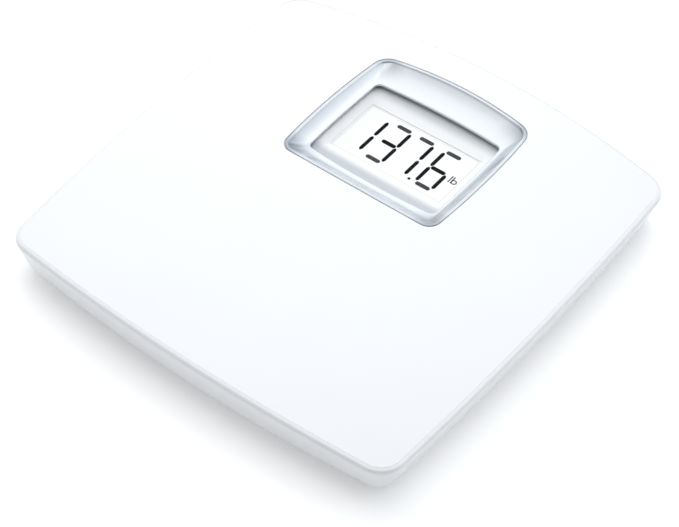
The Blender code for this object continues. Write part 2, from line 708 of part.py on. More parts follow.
def base_tray(material):
    offset = WALL + TRAY_CLEARANCE
    wall_top = TRAY_TOP + TRAY_WALL_HEIGHT
    tray = loft("base_tray", [skirt_ring(offset, TRAY_BOTTOM), skirt_ring(offset, wall_top)])
    hollow = loft("hollow", [
        skirt_ring(offset + TRAY_WALL, TRAY_TOP), skirt_ring(offset + TRAY_WALL, wall_top + OVERCUT)])
    combine(tray, "DIFFERENCE", [hollow])
    root = TRAY_TOP - GAP
    low, high = door_corners(DOOR_CLEARANCE + COMPARTMENT_WALL)
    additions = [box("compartment", (*low, root), (*high, TRAY_TOP + COMPARTMENT_HEIGHT))]
    half = CELL_REST_WIDTH / 2
    spread = CELL_SIDE / 2 - half
    corners = [(sx * spread, sy * spread) for sx in (-1, 1) for sy in (-1, 1)]
    rests = [(x + dx, y + dy) for x, y in foot_spots() for dx, dy in corners]
    additions += [
        box("rest", (x - half, y - half, root), (x + half, y + half, CELL_BOTTOM - GAP)) for x, y in rests]
    combine(tray, "UNION", additions)
    low, high = door_corners(DOOR_CLEARANCE)
    ceiling = TRAY_TOP + COMPARTMENT_HEIGHT - COMPARTMENT_WALL
    cutters = [box("cavity", (*low, 0), (*high, ceiling))]
    hinge_y, hinge_z = hinge_line()
    notch = DOOR_THICKNESS / 2 + DOOR_CLEARANCE
    reach = DOOR_WIDTH / 2 + HINGE_PEG + DOOR_CLEARANCE
    cutters.append(box("hinge_notch", (CELL_X - reach, hinge_y - notch, 0),
                       (CELL_X + reach, hinge_y + notch, hinge_z + notch)))
    notch_half = FINGER_NOTCH[0] / 2
    cutters.append(box("finger_notch", (CELL_X - notch_half, high[1] - GAP, 0),
                       (CELL_X + notch_half, high[1] + FINGER_NOTCH[1], TRAY_BOTTOM + FINGER_NOTCH[2])))
    slot_x = KNOB_SIZE[0] / 2 + KNOB_TRAVEL + 2 * GAP
    slot_y = KNOB_SIZE[1] / 2 + 2 * GAP
    cutters.append(box("switch_slot", (SWITCH_X - slot_x, SWITCH_Y - slot_y, 0),
                       (SWITCH_X + slot_x, SWITCH_Y + slot_y, TRAY_TOP + OVERCUT)))
    for spot in foot_spots():
        cutters.append(post("foot_hole", spot, CUP_RADIUS + CUP_CLEARANCE, 0, TRAY_TOP + GAP, ROUND_STEPS))
    seat = TRAY_BOTTOM + TRAY_SCREW[1] - SCREW_SINK
    for spot in TRAY_SCREW_SPOTS:
        cutters.append(turned("screw_hole", spot, [
            (TRAY_SCREW[0] + GAP, 0), (TRAY_SCREW[0] + GAP, seat),
            (TRAY_SCREW[2] + GAP, seat + SCREW_SINK / 2), (TRAY_SCREW[2] + GAP, wall_top + OVERCUT),
        ], SMALL_STEPS))
    return finish(combine(tray, "DIFFERENCE", cutters), material)


def battery_door(material):
    """A flat door with a rounded hinge edge, a hinge peg at each side and a finger tab opposite."""
    low, high = door_corners(0)
    hinge_y, hinge_z = hinge_line()
    half = DOOR_THICKNESS / 2
    turns = [math.radians(degrees) for degrees in range(90, 271, 30)]
    edge = [(hinge_y + half * math.cos(turn), hinge_z + half * math.sin(turn)) for turn in turns]
    section = [*edge, (high[1], hinge_z - half), (high[1], hinge_z + half)]
    door = loft("battery_door", [[Vector((x, y, z)) for y, z in section] for x in (low[0], high[0])])
    reach = DOOR_WIDTH / 2 + HINGE_PEG
    pegs = post("pegs", (0, 0), half - GAP, -reach, reach)
    pegs.data.transform(Matrix.Translation((CELL_X, hinge_y, hinge_z)) @ Matrix.Rotation(math.pi / 2, 4, "Y"))
    tab_low = DOOR_BOTTOM + GAP / 3
    tab = box("tab", (CELL_X - DOOR_TAB[0] / 2, high[1] - DOOR_TAB_ROOT, tab_low),
              (CELL_X + DOOR_TAB[0] / 2, high[1] + DOOR_TAB[1], tab_low + DOOR_TAB[2]))
    return finish(combine(door, "UNION", [pegs, tab]), material)


def coin_cell(material):
    r, low, high = COIN_RADIUS, COIN_BOTTOM, COIN_BOTTOM + COIN_THICKNESS
    inset, step = COIN_CAP_STEP
    return finish(turned("coin_cell", (CELL_X, CELL_Y), [
        (r - COIN_CHAMFER, low), (r, low + COIN_CHAMFER), (r, high - step),
        (r - inset, high - step + GAP / 3), (r - inset - GAP, high)]), material)


def battery_contacts(material):
    """The negative leaf spring above the cell and the positive clip at its side."""
    ceiling = TRAY_TOP + COMPARTMENT_HEIGHT - COMPARTMENT_WALL
    high = ceiling - GAP - CONTACT_THICKNESS / 2
    low = COIN_BOTTOM + COIN_THICKNESS + GAP + CONTACT_THICKNESS
    path = [(CELL_X + x, CELL_Y, low + (high - low) * share) for x, share in NEGATIVE_LEAF]
    negative = folded_strip("battery_contact_negative", path, CONTACT_WIDTH, CONTACT_THICKNESS, (0, 1, 0))
    side = CELL_X + COIN_RADIUS + GAP + CONTACT_THICKNESS
    foot = CELL_X + DOOR_WIDTH / 2 - GAP
    path = [(side, COIN_BOTTOM), (side + CLIP_SPREAD[0], COIN_BOTTOM + COIN_THICKNESS * 0.6),
            (side + CLIP_SPREAD[1], high - CLIP_BEND), (side + CLIP_SPREAD[2], high), (foot, high)]
    positive = folded_strip("battery_contact_positive", [(x, CELL_Y, z) for x, z in path],
                            CONTACT_WIDTH, CONTACT_THICKNESS, (0, 1, 0))
    for strip in (negative, positive):
        finish(strip, material, False)


def unit_switch(body_material, knob_material):
    half_x, half_y = SWITCH_SIZE[0] / 2, SWITCH_SIZE[1] / 2
    low = TRAY_TOP + GAP
    body = box("unit_switch_body", (SWITCH_X - half_x, SWITCH_Y - half_y, low),
               (SWITCH_X + half_x, SWITCH_Y + half_y, BOARD_BOTTOM - GAP))
    slot_x = KNOB_SIZE[0] / 2 + KNOB_TRAVEL + GAP
    slot_y = KNOB_SIZE[1] / 2 + GAP
    slot = box("slot", (SWITCH_X - slot_x, SWITCH_Y - slot_y, 0),
               (SWITCH_X + slot_x, SWITCH_Y + slot_y, low + KNOB_DEPTH_IN_BODY + GAP))
    finish(combine(body, "DIFFERENCE", [slot]), body_material, False)
    knob = box("unit_switch_knob",
               (SWITCH_X - KNOB_SIZE[0] / 2, SWITCH_Y - KNOB_SIZE[1] / 2, TRAY_BOTTOM - KNOB_REACH),
               (SWITCH_X + KNOB_SIZE[0] / 2, SWITCH_Y + KNOB_SIZE[1] / 2, low + KNOB_DEPTH_IN_BODY))
    finish(knob, knob_material, False)


# --- Feet, load cells, leads and screws ------------------------------------------------------------------


def foot(number, spot, plastic, rubber):
    cup_bottom = PAD_THICKNESS + GAP
    flange = CUP_RADIUS + CUP_FLANGE_WIDTH
    finish(turned(f"foot_cup_{number}", spot, [
        (CUP_RADIUS - CUP_CHAMFER[0], cup_bottom), (CUP_RADIUS, cup_bottom + CUP_CHAMFER[1]),
        (CUP_RADIUS, FLANGE_BOTTOM), (flange, FLANGE_BOTTOM), (flange, FLANGE_TOP),
        (CUP_BOSS_RADIUS, FLANGE_TOP), (CUP_BOSS_RADIUS, CELL_BOTTOM - GAP)]), plastic)
    pad = CUP_RADIUS - PAD_MARGIN
    finish(turned(f"foot_pad_{number}", spot, [
        (pad - PAD_CHAMFER, 0), (pad, PAD_CHAMFER), (pad, PAD_THICKNESS)]), rubber)


def load_cell(number, spot, steel, film):
    """A steel plate cut to an E: its outer arms carry the platform and its tongue rests on the foot."""
    x, y = spot
    half = CELL_SIDE / 2
    cell = box(f"load_cell_{number}", (x - half, y - half, CELL_BOTTOM), (x + half, y + half, CELL_TOP))
    inner = half - CELL_ARM
    outward = math.copysign(1, y)
    slots = []
    for sign in (-1, 1):
        ends_x = sorted((x + sign * CELL_TONGUE_WIDTH / 2, x + sign * inner))
        ends_y = sorted((y + outward * inner, y + outward * (inner - CELL_SLOT_LENGTH)))
        slots.append(box("slot", (ends_x[0], ends_y[0], 0), (ends_x[1], ends_y[1], PLATFORM_TOP)))
    bridge = sorted((y + outward * inner, y + outward * (inner - CELL_BRIDGE_SLOT)))
    slots.append(box("slot", (x - inner, bridge[0], 0), (x + inner, bridge[1], PLATFORM_TOP)))
    finish(combine(cell, "DIFFERENCE", slots), steel, False)
    gauge_y = y - outward * (CELL_SLOT_LENGTH - inner - GAUGE_SIZE[1] / 2 - GAUGE_FROM_SLOT)
    low = CELL_TOP + GAP
    finish(box(f"strain_gauge_{number}",
               (x - GAUGE_SIZE[0] / 2, gauge_y - GAUGE_SIZE[1] / 2, low),
               (x + GAUGE_SIZE[0] / 2, gauge_y + GAUGE_SIZE[1] / 2, low + GAUGE_SIZE[2])), film, False)


def sensor_lead(number, spot, material):
    """Leads from one load cell, through the gate in its seat, down to the tray and to the board."""
    x, y = spot
    side, end = math.copysign(1, x), math.copysign(1, y)
    on_cell = CELL_TOP + GAP + LEAD_RADIUS + LEAD_LIFT
    on_tray = TRAY_TOP + 2 * GAP + LEAD_RADIUS
    start = x - side * (GAUGE_SIZE[0] / 2 + LEAD_START_GAP)
    edge = x - side * CELL_SIDE / 2
    board_x = side * (BOARD_WIDTH / 2 - LEAD_BOARD_INSET)
    under_board = BOARD_BOTTOM - GAP - LEAD_RADIUS
    points = [(start, y, on_cell), (edge, y, on_cell)]
    points.append((edge - side * LEAD_BEND[0], y, (on_cell + on_tray) / 2 + LEAD_BEND[1]))
    points.append((edge - side * LEAD_LANDING[0], y - end * LEAD_LANDING[1], on_tray))
    route, last = (FRONT_LEAD_ROUTE, FRONT_LEAD_END) if end < 0 else (BACK_LEAD_ROUTE, BACK_LEAD_END)
    points += [(side * px, py, on_tray) for px, py in route]
    points.append((board_x, last, under_board))
    return lead(f"sensor_lead_{number}", points, LEAD_RADIUS, material)


def battery_lead(name, side, material):
    """One lead from the battery compartment's back wall to the board's front edge."""
    back = CELL_Y + DOOR_LENGTH / 2 + DOOR_CLEARANCE + COMPARTMENT_WALL + GAP
    height = TRAY_TOP + COMPARTMENT_HEIGHT - BATTERY_LEAD_EXIT
    on_tray = TRAY_TOP + 2 * GAP + BATTERY_LEAD_RADIUS
    front = DISPLAY_Y - BOARD_DEPTH / 2
    under_board = BOARD_BOTTOM - GAP - BATTERY_LEAD_RADIUS
    first, drop = BATTERY_LEAD_FALL
    ways = [(back, height), (back + first, height - drop), (back + BATTERY_LEAD_LANDING, on_tray),
            ((back + front) / 2, on_tray), (front + BATTERY_LEAD_BOARD[0], on_tray),
            (front + BATTERY_LEAD_BOARD[1], under_board)]
    points = [(side * x, y, z) for x, (y, z) in zip(BATTERY_LEAD_X, ways)]
    return lead(name, points, BATTERY_LEAD_RADIUS, material)


def screw(name, spot, size, seat, material):
    """A screw driven upwards: the underside of its head is at the height seat."""
    head_radius, head_height, shank_radius, shank_length = size
    head = seat - head_height
    inset, rise = HEAD_ROUND
    tip_radius, taper = SCREW_TIP
    return finish(turned(name, spot, [
        (head_radius - inset, head), (head_radius, head + rise), (head_radius, seat),
        (shank_radius, seat), (shank_radius, seat + shank_length - taper), (tip_radius, seat + shank_length),
    ], SMALL_STEPS), material)


def screws(material):
    tray_seat = TRAY_BOTTOM + TRAY_SCREW[1] - SCREW_SINK - GAP
    for number, spot in enumerate(TRAY_SCREW_SPOTS, 1):
        screw(f"tray_screw_{number}", spot, TRAY_SCREW, tray_seat, material)
    for number, spot in enumerate(board_screw_spots(), 1):
        screw(f"board_screw_{number}", spot, SMALL_SCREW, BOARD_BOTTOM - GAP, material)
    ear_seat = SURROUND_TOP - SURROUND_THICKNESS - GAP
    for number, spot in enumerate(ear_spots(), 1):
        screw(f"display_screw_{number}", spot, SMALL_SCREW, ear_seat, material)


def main():
    for thing in list(bpy.data.objects):
        bpy.data.objects.remove(thing)
    white = make_material("white_abs", (0.90, 0.905, 0.92), 0.25)
    tray_grey = make_material("tray_abs", (0.80, 0.81, 0.83), 0.5)
    silver = make_material("silver_bezel", (0.62, 0.65, 0.69), 0.3, 0.6)
    clear = make_material("window_clear", (0.95, 0.97, 1.0), 0.05, 0.0, 0.2)
    satin = make_material("surround_silver", (0.82, 0.84, 0.86), 0.4)
    glass = make_material("lcd_glass", (0.84, 0.86, 0.84), 0.15)
    reflector = make_material("lcd_reflector", (0.75, 0.77, 0.78), 0.3, 0.6)
    black = make_material("black_plastic", (0.03, 0.03, 0.035), 0.45)
    board = make_material("board_green", (0.02, 0.20, 0.09), 0.4)
    steel = make_material("steel", (0.55, 0.56, 0.58), 0.35, 1.0)
    rubber = make_material("rubber", (0.05, 0.05, 0.05), 0.8)
    film = make_material("gauge_film", (0.55, 0.32, 0.08), 0.5)
    wire = make_material("wire_white", (0.80, 0.80, 0.78), 0.5)
    red = make_material("wire_red", (0.60, 0.03, 0.03), 0.5)

    platform_cover(white)
    display_bezel(silver)
    display_window(clear)
    display_surround(satin)
    lcd_glass(glass)
    lcd_reflector(reflector)
    lcd_holder(black)
    zebra_strip(black)
    circuit_board(board)
    control_chip(black)
    timing_crystal(steel)
    buffer_capacitor(black)
    base_tray(tray_grey)
    battery_door(tray_grey)
    coin_cell(steel)
    battery_contacts(steel)
    unit_switch(black, black)
    for number, spot in enumerate(foot_spots(), 1):
        foot(number, spot, tray_grey, rubber)
        load_cell(number, spot, steel, film)
        sensor_lead(number, spot, wire)
    battery_lead("battery_lead_positive", 1, red)
    battery_lead("battery_lead_negative", -1, black)
    screws(steel)


main()
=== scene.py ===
"""Looks for the digital bathroom scale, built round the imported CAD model. Metres, +Z up."""

import math

import bmesh
import bpy
from mathutils import Matrix, Vector


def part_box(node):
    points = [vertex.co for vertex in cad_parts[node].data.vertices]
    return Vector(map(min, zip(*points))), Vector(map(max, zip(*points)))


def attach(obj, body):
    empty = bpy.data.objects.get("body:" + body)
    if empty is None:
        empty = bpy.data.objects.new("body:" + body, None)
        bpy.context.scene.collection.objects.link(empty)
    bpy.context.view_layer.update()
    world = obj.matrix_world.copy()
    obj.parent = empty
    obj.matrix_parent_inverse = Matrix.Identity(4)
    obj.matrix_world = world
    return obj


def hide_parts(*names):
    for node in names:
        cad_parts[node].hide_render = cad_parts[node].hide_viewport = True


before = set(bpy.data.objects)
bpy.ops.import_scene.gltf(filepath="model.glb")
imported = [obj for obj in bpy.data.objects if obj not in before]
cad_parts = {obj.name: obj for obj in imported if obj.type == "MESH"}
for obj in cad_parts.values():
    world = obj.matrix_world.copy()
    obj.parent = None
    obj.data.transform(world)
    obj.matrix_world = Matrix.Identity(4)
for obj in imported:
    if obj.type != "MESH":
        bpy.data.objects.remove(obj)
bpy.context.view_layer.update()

# --- Sizes: taken from the frame where a node gives them ------------------------------------------

GAP = 0.0003
ROOT = "platform"
COVER_LOW, COVER_HIGH = (Vector(corner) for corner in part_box("platform_cover"))
TRAY_LOW = Vector(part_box("base_tray")[0])
BEZEL_LOW, BEZEL_HIGH = (Vector(corner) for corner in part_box("display_bezel"))
PANE_LOW, PANE_HIGH = (Vector(corner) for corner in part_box("display_window"))
SURROUND_HIGH = Vector(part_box("display_surround")[1])
LCD_LOW, LCD_HIGH = (Vector(corner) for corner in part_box("lcd_glass"))

TRIM = 0.00002  # keeps the finished shell inside the CAD shell
MIDDLE_SHARE = 0.996  # width at mid depth, as a share of the greatest width
DEPTH = COVER_HIGH.y - COVER_LOW.y - TRIM
TOP = COVER_HIGH.z
SKIRT_BOTTOM = COVER_LOW.z
WIDTH = (COVER_HIGH.x - COVER_LOW.x) * MIDDLE_SHARE
BACK_WIDENING = 0.0204
PLATFORM_BOWS = (0.0077, 0.0043, 0.0140)  # front, side, back
PLATFORM_CORNERS = (0.0188, 0.0198)  # front, back
CROWN_SIDE_DROP = 0.0057
CROWN_END_DROP = 0.0039
RIM_RADIUS = 0.0025
RIM_GROOVE_INSET = 0.0031
RIM_GROOVE_WIDTH = 0.0007
RIM_GROOVE_DEPTH = 0.00022
RIM_GROOVE_FLOOR = 0.00012  # half the width of its flat bottom
OPENING_EDGE = 0.0002
TOP_STEPS = 26
UNDERSIDE_STEPS = 12
WALL_FOOT = 0.96  # how far up the inside wall runs straight
SKIRT_TAPER_SIDE = 0.0057
SKIRT_TAPER_END = 0.0047
SKIRT_EDGE_RADIUS = 0.0006
WALL = 0.0025

BEZEL_Y = (BEZEL_LOW.y + BEZEL_HIGH.y) / 2
BEZEL_BOWS = (0.0006, 0.0020, 0.0048)
BEZEL_CORNERS = (0.0095, 0.0130)
BEZEL_RIM = 0.0030
BEZEL_RIM_THICKNESS = 0.0010
BEZEL_REBATE = 0.0026
BEZEL_SKIRT = 0.0035
BEZEL_EDGE_RADIUS = 0.0004
DISH_STEPS = 18
DISH_CURVE = 1.7  # above one, the dish is steeper at its rim
RIM_RELIEF = 0.00035
RIM_STEP = 0.0007
WINDOW_WIDTH = 0.1060
WINDOW_DEPTH = 0.0830
WINDOW_Y = (PANE_LOW.y + PANE_HIGH.y) / 2
WINDOW_BOWS = (0.0020, 0.0008, 0.0020)
WINDOW_CORNERS = (0.0045, 0.0045)
PANE_MARGIN = 0.0030
PANE_EDGE = 0.0002
LIP_THICKNESS = 0.0015
LIP_ROUND = 0.0006
LIP_Z = PANE_HIGH.z + GAP + LIP_THICKNESS
SURROUND_MARGIN = 0.0050
SURROUND_WALL = 0.0015
# painted shade on the display's surround: where its darker tones start towards the back and the front of the
# window
PAINTED_SHADE_BACK = LCD_HIGH.y + 0.0070
PAINTED_SHADE_FRONT = LCD_LOW.y - 0.0035
PAINTED_SHADE_SOFTNESS = 0.0045

LCD_MIDDLE = Vector(((LCD_LOW.x + LCD_HIGH.x) / 2, (LCD_LOW.y + LCD_HIGH.y) / 2, LCD_HIGH.z))
VIEW_WIDTH = 0.0930
VIEW_DEPTH = 0.0495
VIEW_BOW = 0.0001
VIEW_CORNER = 0.001
SEAL_INSET = 0.0014
SEAL_WIDTH = 0.00038
DIGIT_WIDTH = 0.0132
DIGIT_HEIGHT = 0.0360
DIGIT_STROKE = 0.0028
DIGIT_BAR = 0.0116
DIGIT_BAR_STROKE = 0.0034
DIGIT_RAISE = 0.0002
READING = (("1", -0.0268), ("3", -0.0075), ("7", 0.0116), ("6", 0.0341))  # figure, right-hand stroke
POINT_X = 0.0163
POINT_RADIUS = 0.0011
UNIT_X = 0.0386
UNIT_LOW = LCD_LOW.y + 0.0225
UNIT_HIGH = UNIT_LOW + 0.0068
UNIT_STROKE = 0.0008
UNIT_PITCH = 0.0018
UNIT_BOWL = UNIT_STROKE * 2.65
INK_LIFT = 0.00002
INK_THICKNESS = 0.00005

RIB_BOTTOM = 0.0225
RIB_THICKNESS = 0.0018
RIB_STEP = 0.0100
RIB_END_INSET = 0.0045
RIB_REACH = 0.0040  # how near the outline's points are to a rib that they end
BAY_MARGIN = 0.0042
BOSS_WALL = 0.0025
TRAY_TOP = TRAY_LOW.z + 0.0025

HEAD_ROUND = 0.0005
THREAD_PITCH = 0.0010
THREAD_DEPTH = 0.0002
TRAY_SCREW = (0.0028, 0.0016, 0.0015, 0.0120)  # head's radius and height, shank's radius and length
SMALL_SCREW = (0.0022, 0.0013, 0.0010, 0.0060)

CUP_RADIUS = 0.0170
CUP_FLANGE = 0.0012
CUP_BOSS_RADIUS = 0.0045
CUP_BOSS_HEIGHT = 0.0010
CUP_ROUND = 0.0006
PAD_ROUND = 0.0005
TREAD_RADIUS = 0.0104
TREAD_COUNT = 24
TREAD_SIZE = (0.0018, 0.0010, 0.0006)
TREAD_EDGE = 0.00012
COIN_SHOULDER = 0.0012
COIN_CAP_HEIGHT = 0.0009
COIN_ROUND = 0.0003
COIN_RING = 0.00012
TRACE_PITCH = 0.0016
TRACE_HALF = 0.0002
GRIP_SIZE = (0.0140, 0.0006, 0.0004)
GRIP_COUNT = 6
GRIP_PITCH = 0.0015
GRIP_INSET = 0.0110
KNOB_RIDGE = (0.0004, 0.0020, 0.0003)
KNOB_RIDGE_COUNT = 3
KNOB_RIDGE_PITCH = 0.0009

FLOOR_GLOW = 0.20
FLOOR_REACH = 3.0
SKY = 0.80  # the room's light where no entry of ROOM adds to it
ROOM = (  # direction of each part of the room, cosines where it starts and is full, brightness added
    ((0.50, 0.52, 0.69), 0.72, 0.95, 0.95),  # softbox on the right
    ((-0.41, 0.60, 0.69), 0.80, 0.96, 0.55),  # softbox over the back
    ((-0.41, 0.91, 0.06), 0.93, 0.995, 0.50),  # lit backdrop
    ((0.02, 0.92, 0.40), 0.92, 0.99, -0.35),  # gap between the two
    ((-0.86, -0.08, 0.50), 0.85, 0.97, -0.45),  # unlit corner on the left
    ((-0.64, 0.75, 0.12), 0.95, 0.99, -0.45),  # edge of the backdrop
    ((0.14, -0.14, 0.98), 0.92, 0.99, -0.35),  # gap over the camera
    ((1.0, -0.2, 0.0), 0.0, 1.0, -0.70),  # unlit side
    ((0.0, -1.0, 0.0), 0.2, 1.0, -0.30),  # behind the camera
)
ROOM_COLOURS = (  # height in the room, colour
    (0.0, (0.84, 0.92, 1.0)), (0.5, (0.90, 0.95, 1.0)), (1.0, (0.97, 0.985, 1.0)))
KEY_SIZE = (3.0, 2.2)
KEY_POWER = 20.0
KEY_PLACE = Vector((-1.25, 0.72, 1.3))
POOL_POWER = 5.6
POOL_PLACE = (0.0, 0.03, 0.8)
POOL_SPREAD = 44
POOL_RADIUS = 0.3
CAMERA_AZIMUTH = math.radians(38.0)
CAMERA_ELEVATION = math.radians(48.59)
CAMERA_AIM = Vector((0.03316, -0.04491, TOP - RIM_RADIUS))
CAMERA_DISTANCE = 1.0969
CAMERA_LENS = 92.12

SIDE_STEPS = 44
CORNER_STEPS = 14
DOT_STEPS = 20
BOWL_STEPS = 24
LATHE_STEPS = 96
SMALL_LATHE_STEPS = 40


def crown(x, y):
    """Height of the platform's top surface."""
    return TOP - CROWN_SIDE_DROP * (2 * x / WIDTH) ** 2 - CROWN_END_DROP * (2 * y / DEPTH) ** 2


# --- Node wiring ----------------------------------------------------------------------------------


class Wire:
    """An output socket. An operator on it adds a Math node to its graph."""

    def __init__(self, graph, socket):
        self.graph = graph
        self.socket = socket

    def maths(self, operation, *others):
        """A Math node whose first value is this one."""
        return self.graph.add("ShaderNodeMath", {"operation": operation}, dict(enumerate((self, *others))))

    def __add__(self, other):
        return self.maths("ADD", other)

    __radd__ = __add__

    def __sub__(self, other):
        return self.maths("SUBTRACT", other)

    def __rsub__(self, other):
        return self.graph.add("ShaderNodeMath", {"operation": "SUBTRACT"}, {0: other, 1: self})

    def __mul__(self, other):
        return self.maths("MULTIPLY", other)

    __rmul__ = __mul__

    def __truediv__(self, other):
        return self.maths("DIVIDE", other)

    def below(self, limit, softness):
        """One where the value is under the limit, zero above it, with a soft step between."""
        return self.graph.add(
            "ShaderNodeMapRange", {"interpolation_type": "SMOOTHSTEP"},
            {0: self, 1: limit - softness, 2: limit + softness, 3: 1.0, 4: 0.0})


class Graph:
    """A node tree with one method that adds any node."""

    def __init__(self, tree):
        self.tree = tree

    def add(self, kind, settings=None, inputs=None, output=0):
        """Adds a node, with its settings first and then the values or links of its sockets."""
        node = self.tree.nodes.new(kind)
        for name, value in (settings or {}).items():
            if name == "stops":
                self.set_stops(node.color_ramp, value)
            else:
                setattr(node, name, value)
        for key, value in (inputs or {}).items():
            if isinstance(value, Wire):
                self.tree.links.new(value.socket, node.inputs[key])
            else:
                node.inputs[key].default_value = value
        if not node.outputs:
            return node
        return Wire(self, node.outputs[output])

    @staticmethod
    def set_stops(ramp, stops):
        """Gives a colour ramp its stops, as (position, colour) pairs."""
        while len(ramp.elements) < len(stops):
            ramp.elements.new(0.5)
        for element, (position, colour) in zip(ramp.elements, stops):
            element.position = position
            element.color = (*colour, 1)


class Layout(Graph):
    """A Geometry Nodes tree with named inputs, which makes one piece from a seed mesh."""

    def __init__(self, name, inputs):
        super().__init__(bpy.data.node_groups.new(name, "GeometryNodeTree"))
        self.tree.is_modifier = True
        interface = self.tree.interface
        interface.new_socket("Geometry", in_out="INPUT", socket_type="NodeSocketGeometry")
        self.keys = {}
        for label, kind in inputs.items():
            socket = interface.new_socket(label, in_out="INPUT", socket_type=kind)
            self.keys[label] = socket.identifier
        interface.new_socket("Geometry", in_out="OUTPUT", socket_type="NodeSocketGeometry")
        self.entry = self.tree.nodes.new("NodeGroupInput")
        self.exit = self.tree.nodes.new("NodeGroupOutput")

    def given(self, label):
        return Wire(self, self.entry.outputs[label])

    def end(self, geometry):
        """Realizes what is left as instances, gives it the material and closes the tree."""
        solid = self.add("GeometryNodeRealizeInstances", None, {0: geometry})
        painted = self.add("GeometryNodeSetMaterial", None, {0: solid, "Material": self.given("Material")})
        self.tree.links.new(painted.socket, self.exit.inputs[0])

    def grow(self, seed, name, material, sharp=35, **values):
        """A plain piece that holds what the tree makes of the seed piece, which is used up."""
        modifier = seed.modifiers.new("layout", "NODES")
        modifier.node_group = self.tree
        for label, value in {"Material": material, **values}.items():
            modifier[self.keys[label.replace("_", " ")]] = value
        evaluated = seed.evaluated_get(bpy.context.evaluated_depsgraph_get())
        mesh = bpy.data.meshes.new_from_object(evaluated)
        seed.modifiers.clear()
        bpy.data.objects.remove(seed)
        piece = bpy.data.objects.new(name, mesh)
        bpy.context.scene.collection.objects.link(piece)
        mesh.name = name
        mesh.shade_smooth()
        mesh.set_sharp_from_angle(angle=math.radians(sharp))
        return piece


FLOAT, INTEGER, VECTOR, MATERIAL = (
    "NodeSocketFloat", "NodeSocketInt", "NodeSocketVector", "NodeSocketMaterial")


def grid_layout():
    """Copies of the seed at the points of a grid, each with a turn of its own."""
    layout = Layout("grid_layout", {
        "Columns": INTEGER, "Rows": INTEGER, "Width": FLOAT, "Depth": FLOAT, "Centre": VECTOR,
        "Turn": FLOAT, "Seed": INTEGER, "Material": MATERIAL})
    grid = layout.add("GeometryNodeMeshGrid", None, {
        "Size X": layout.given("Width"), "Size Y": layout.given("Depth"),
        "Vertices X": layout.given("Columns"), "Vertices Y": layout.given("Rows")})
    spots = layout.add("GeometryNodeTransform", None, {0: grid, "Translation": layout.given("Centre")})
    turn = layout.add("FunctionNodeRandomValue", {"data_type": "FLOAT"}, {
        2: 0.0, 3: layout.given("Turn"), 8: layout.given("Seed")}, output=1)
    turns = layout.add("ShaderNodeCombineXYZ", None, {2: turn})
    layout.end(layout.add("GeometryNodeInstanceOnPoints", None, {
        0: spots, "Instance": layout.given("Geometry"), "Rotation": turns}))
    return layout


def circle_layout():
    """Copies of the seed round a circle, each turned to face outwards."""
    layout = Layout("circle_layout", {
        "Count": INTEGER, "Radius": FLOAT, "Centre": VECTOR, "Material": MATERIAL})
    circle = layout.add("GeometryNodeMeshCircle", None, {
        "Vertices": layout.given("Count"), "Radius": layout.given("Radius")})
    index = layout.add("GeometryNodeInputIndex")
    turn = index * math.tau / layout.given("Count")
    turns = layout.add("ShaderNodeCombineXYZ", None, {2: turn})
    ring_of = layout.add("GeometryNodeInstanceOnPoints", None, {
        0: circle, "Instance": layout.given("Geometry"), "Rotation": turns})
    layout.end(layout.add("GeometryNodeTransform", None, {0: ring_of, "Translation": layout.given("Centre")}))
    return layout


def rib_layout():
    """Raises the upper points of straight ribs to the underside of the crown."""
    layout = Layout("rib_layout", {
        "Top": FLOAT, "Side Drop": FLOAT, "End Drop": FLOAT, "Bottom": FLOAT, "Material": MATERIAL})
    place = layout.add("GeometryNodeInputPosition")
    x, y, z = (layout.add("ShaderNodeSeparateXYZ", None, {0: place}, output=axis) for axis in range(3))
    roof = layout.given("Top") - layout.given("Side Drop") * x * x - layout.given("End Drop") * y * y
    upper = z.maths("GREATER_THAN", layout.given("Bottom") + GAP)
    height = layout.given("Bottom") + upper * (roof - layout.given("Bottom"))
    spot = layout.add("ShaderNodeCombineXYZ", None, {0: x, 1: y, 2: height})
    layout.end(layout.add("GeometryNodeSetPosition", None, {
        0: layout.given("Geometry"), "Position": spot}))
    return layout


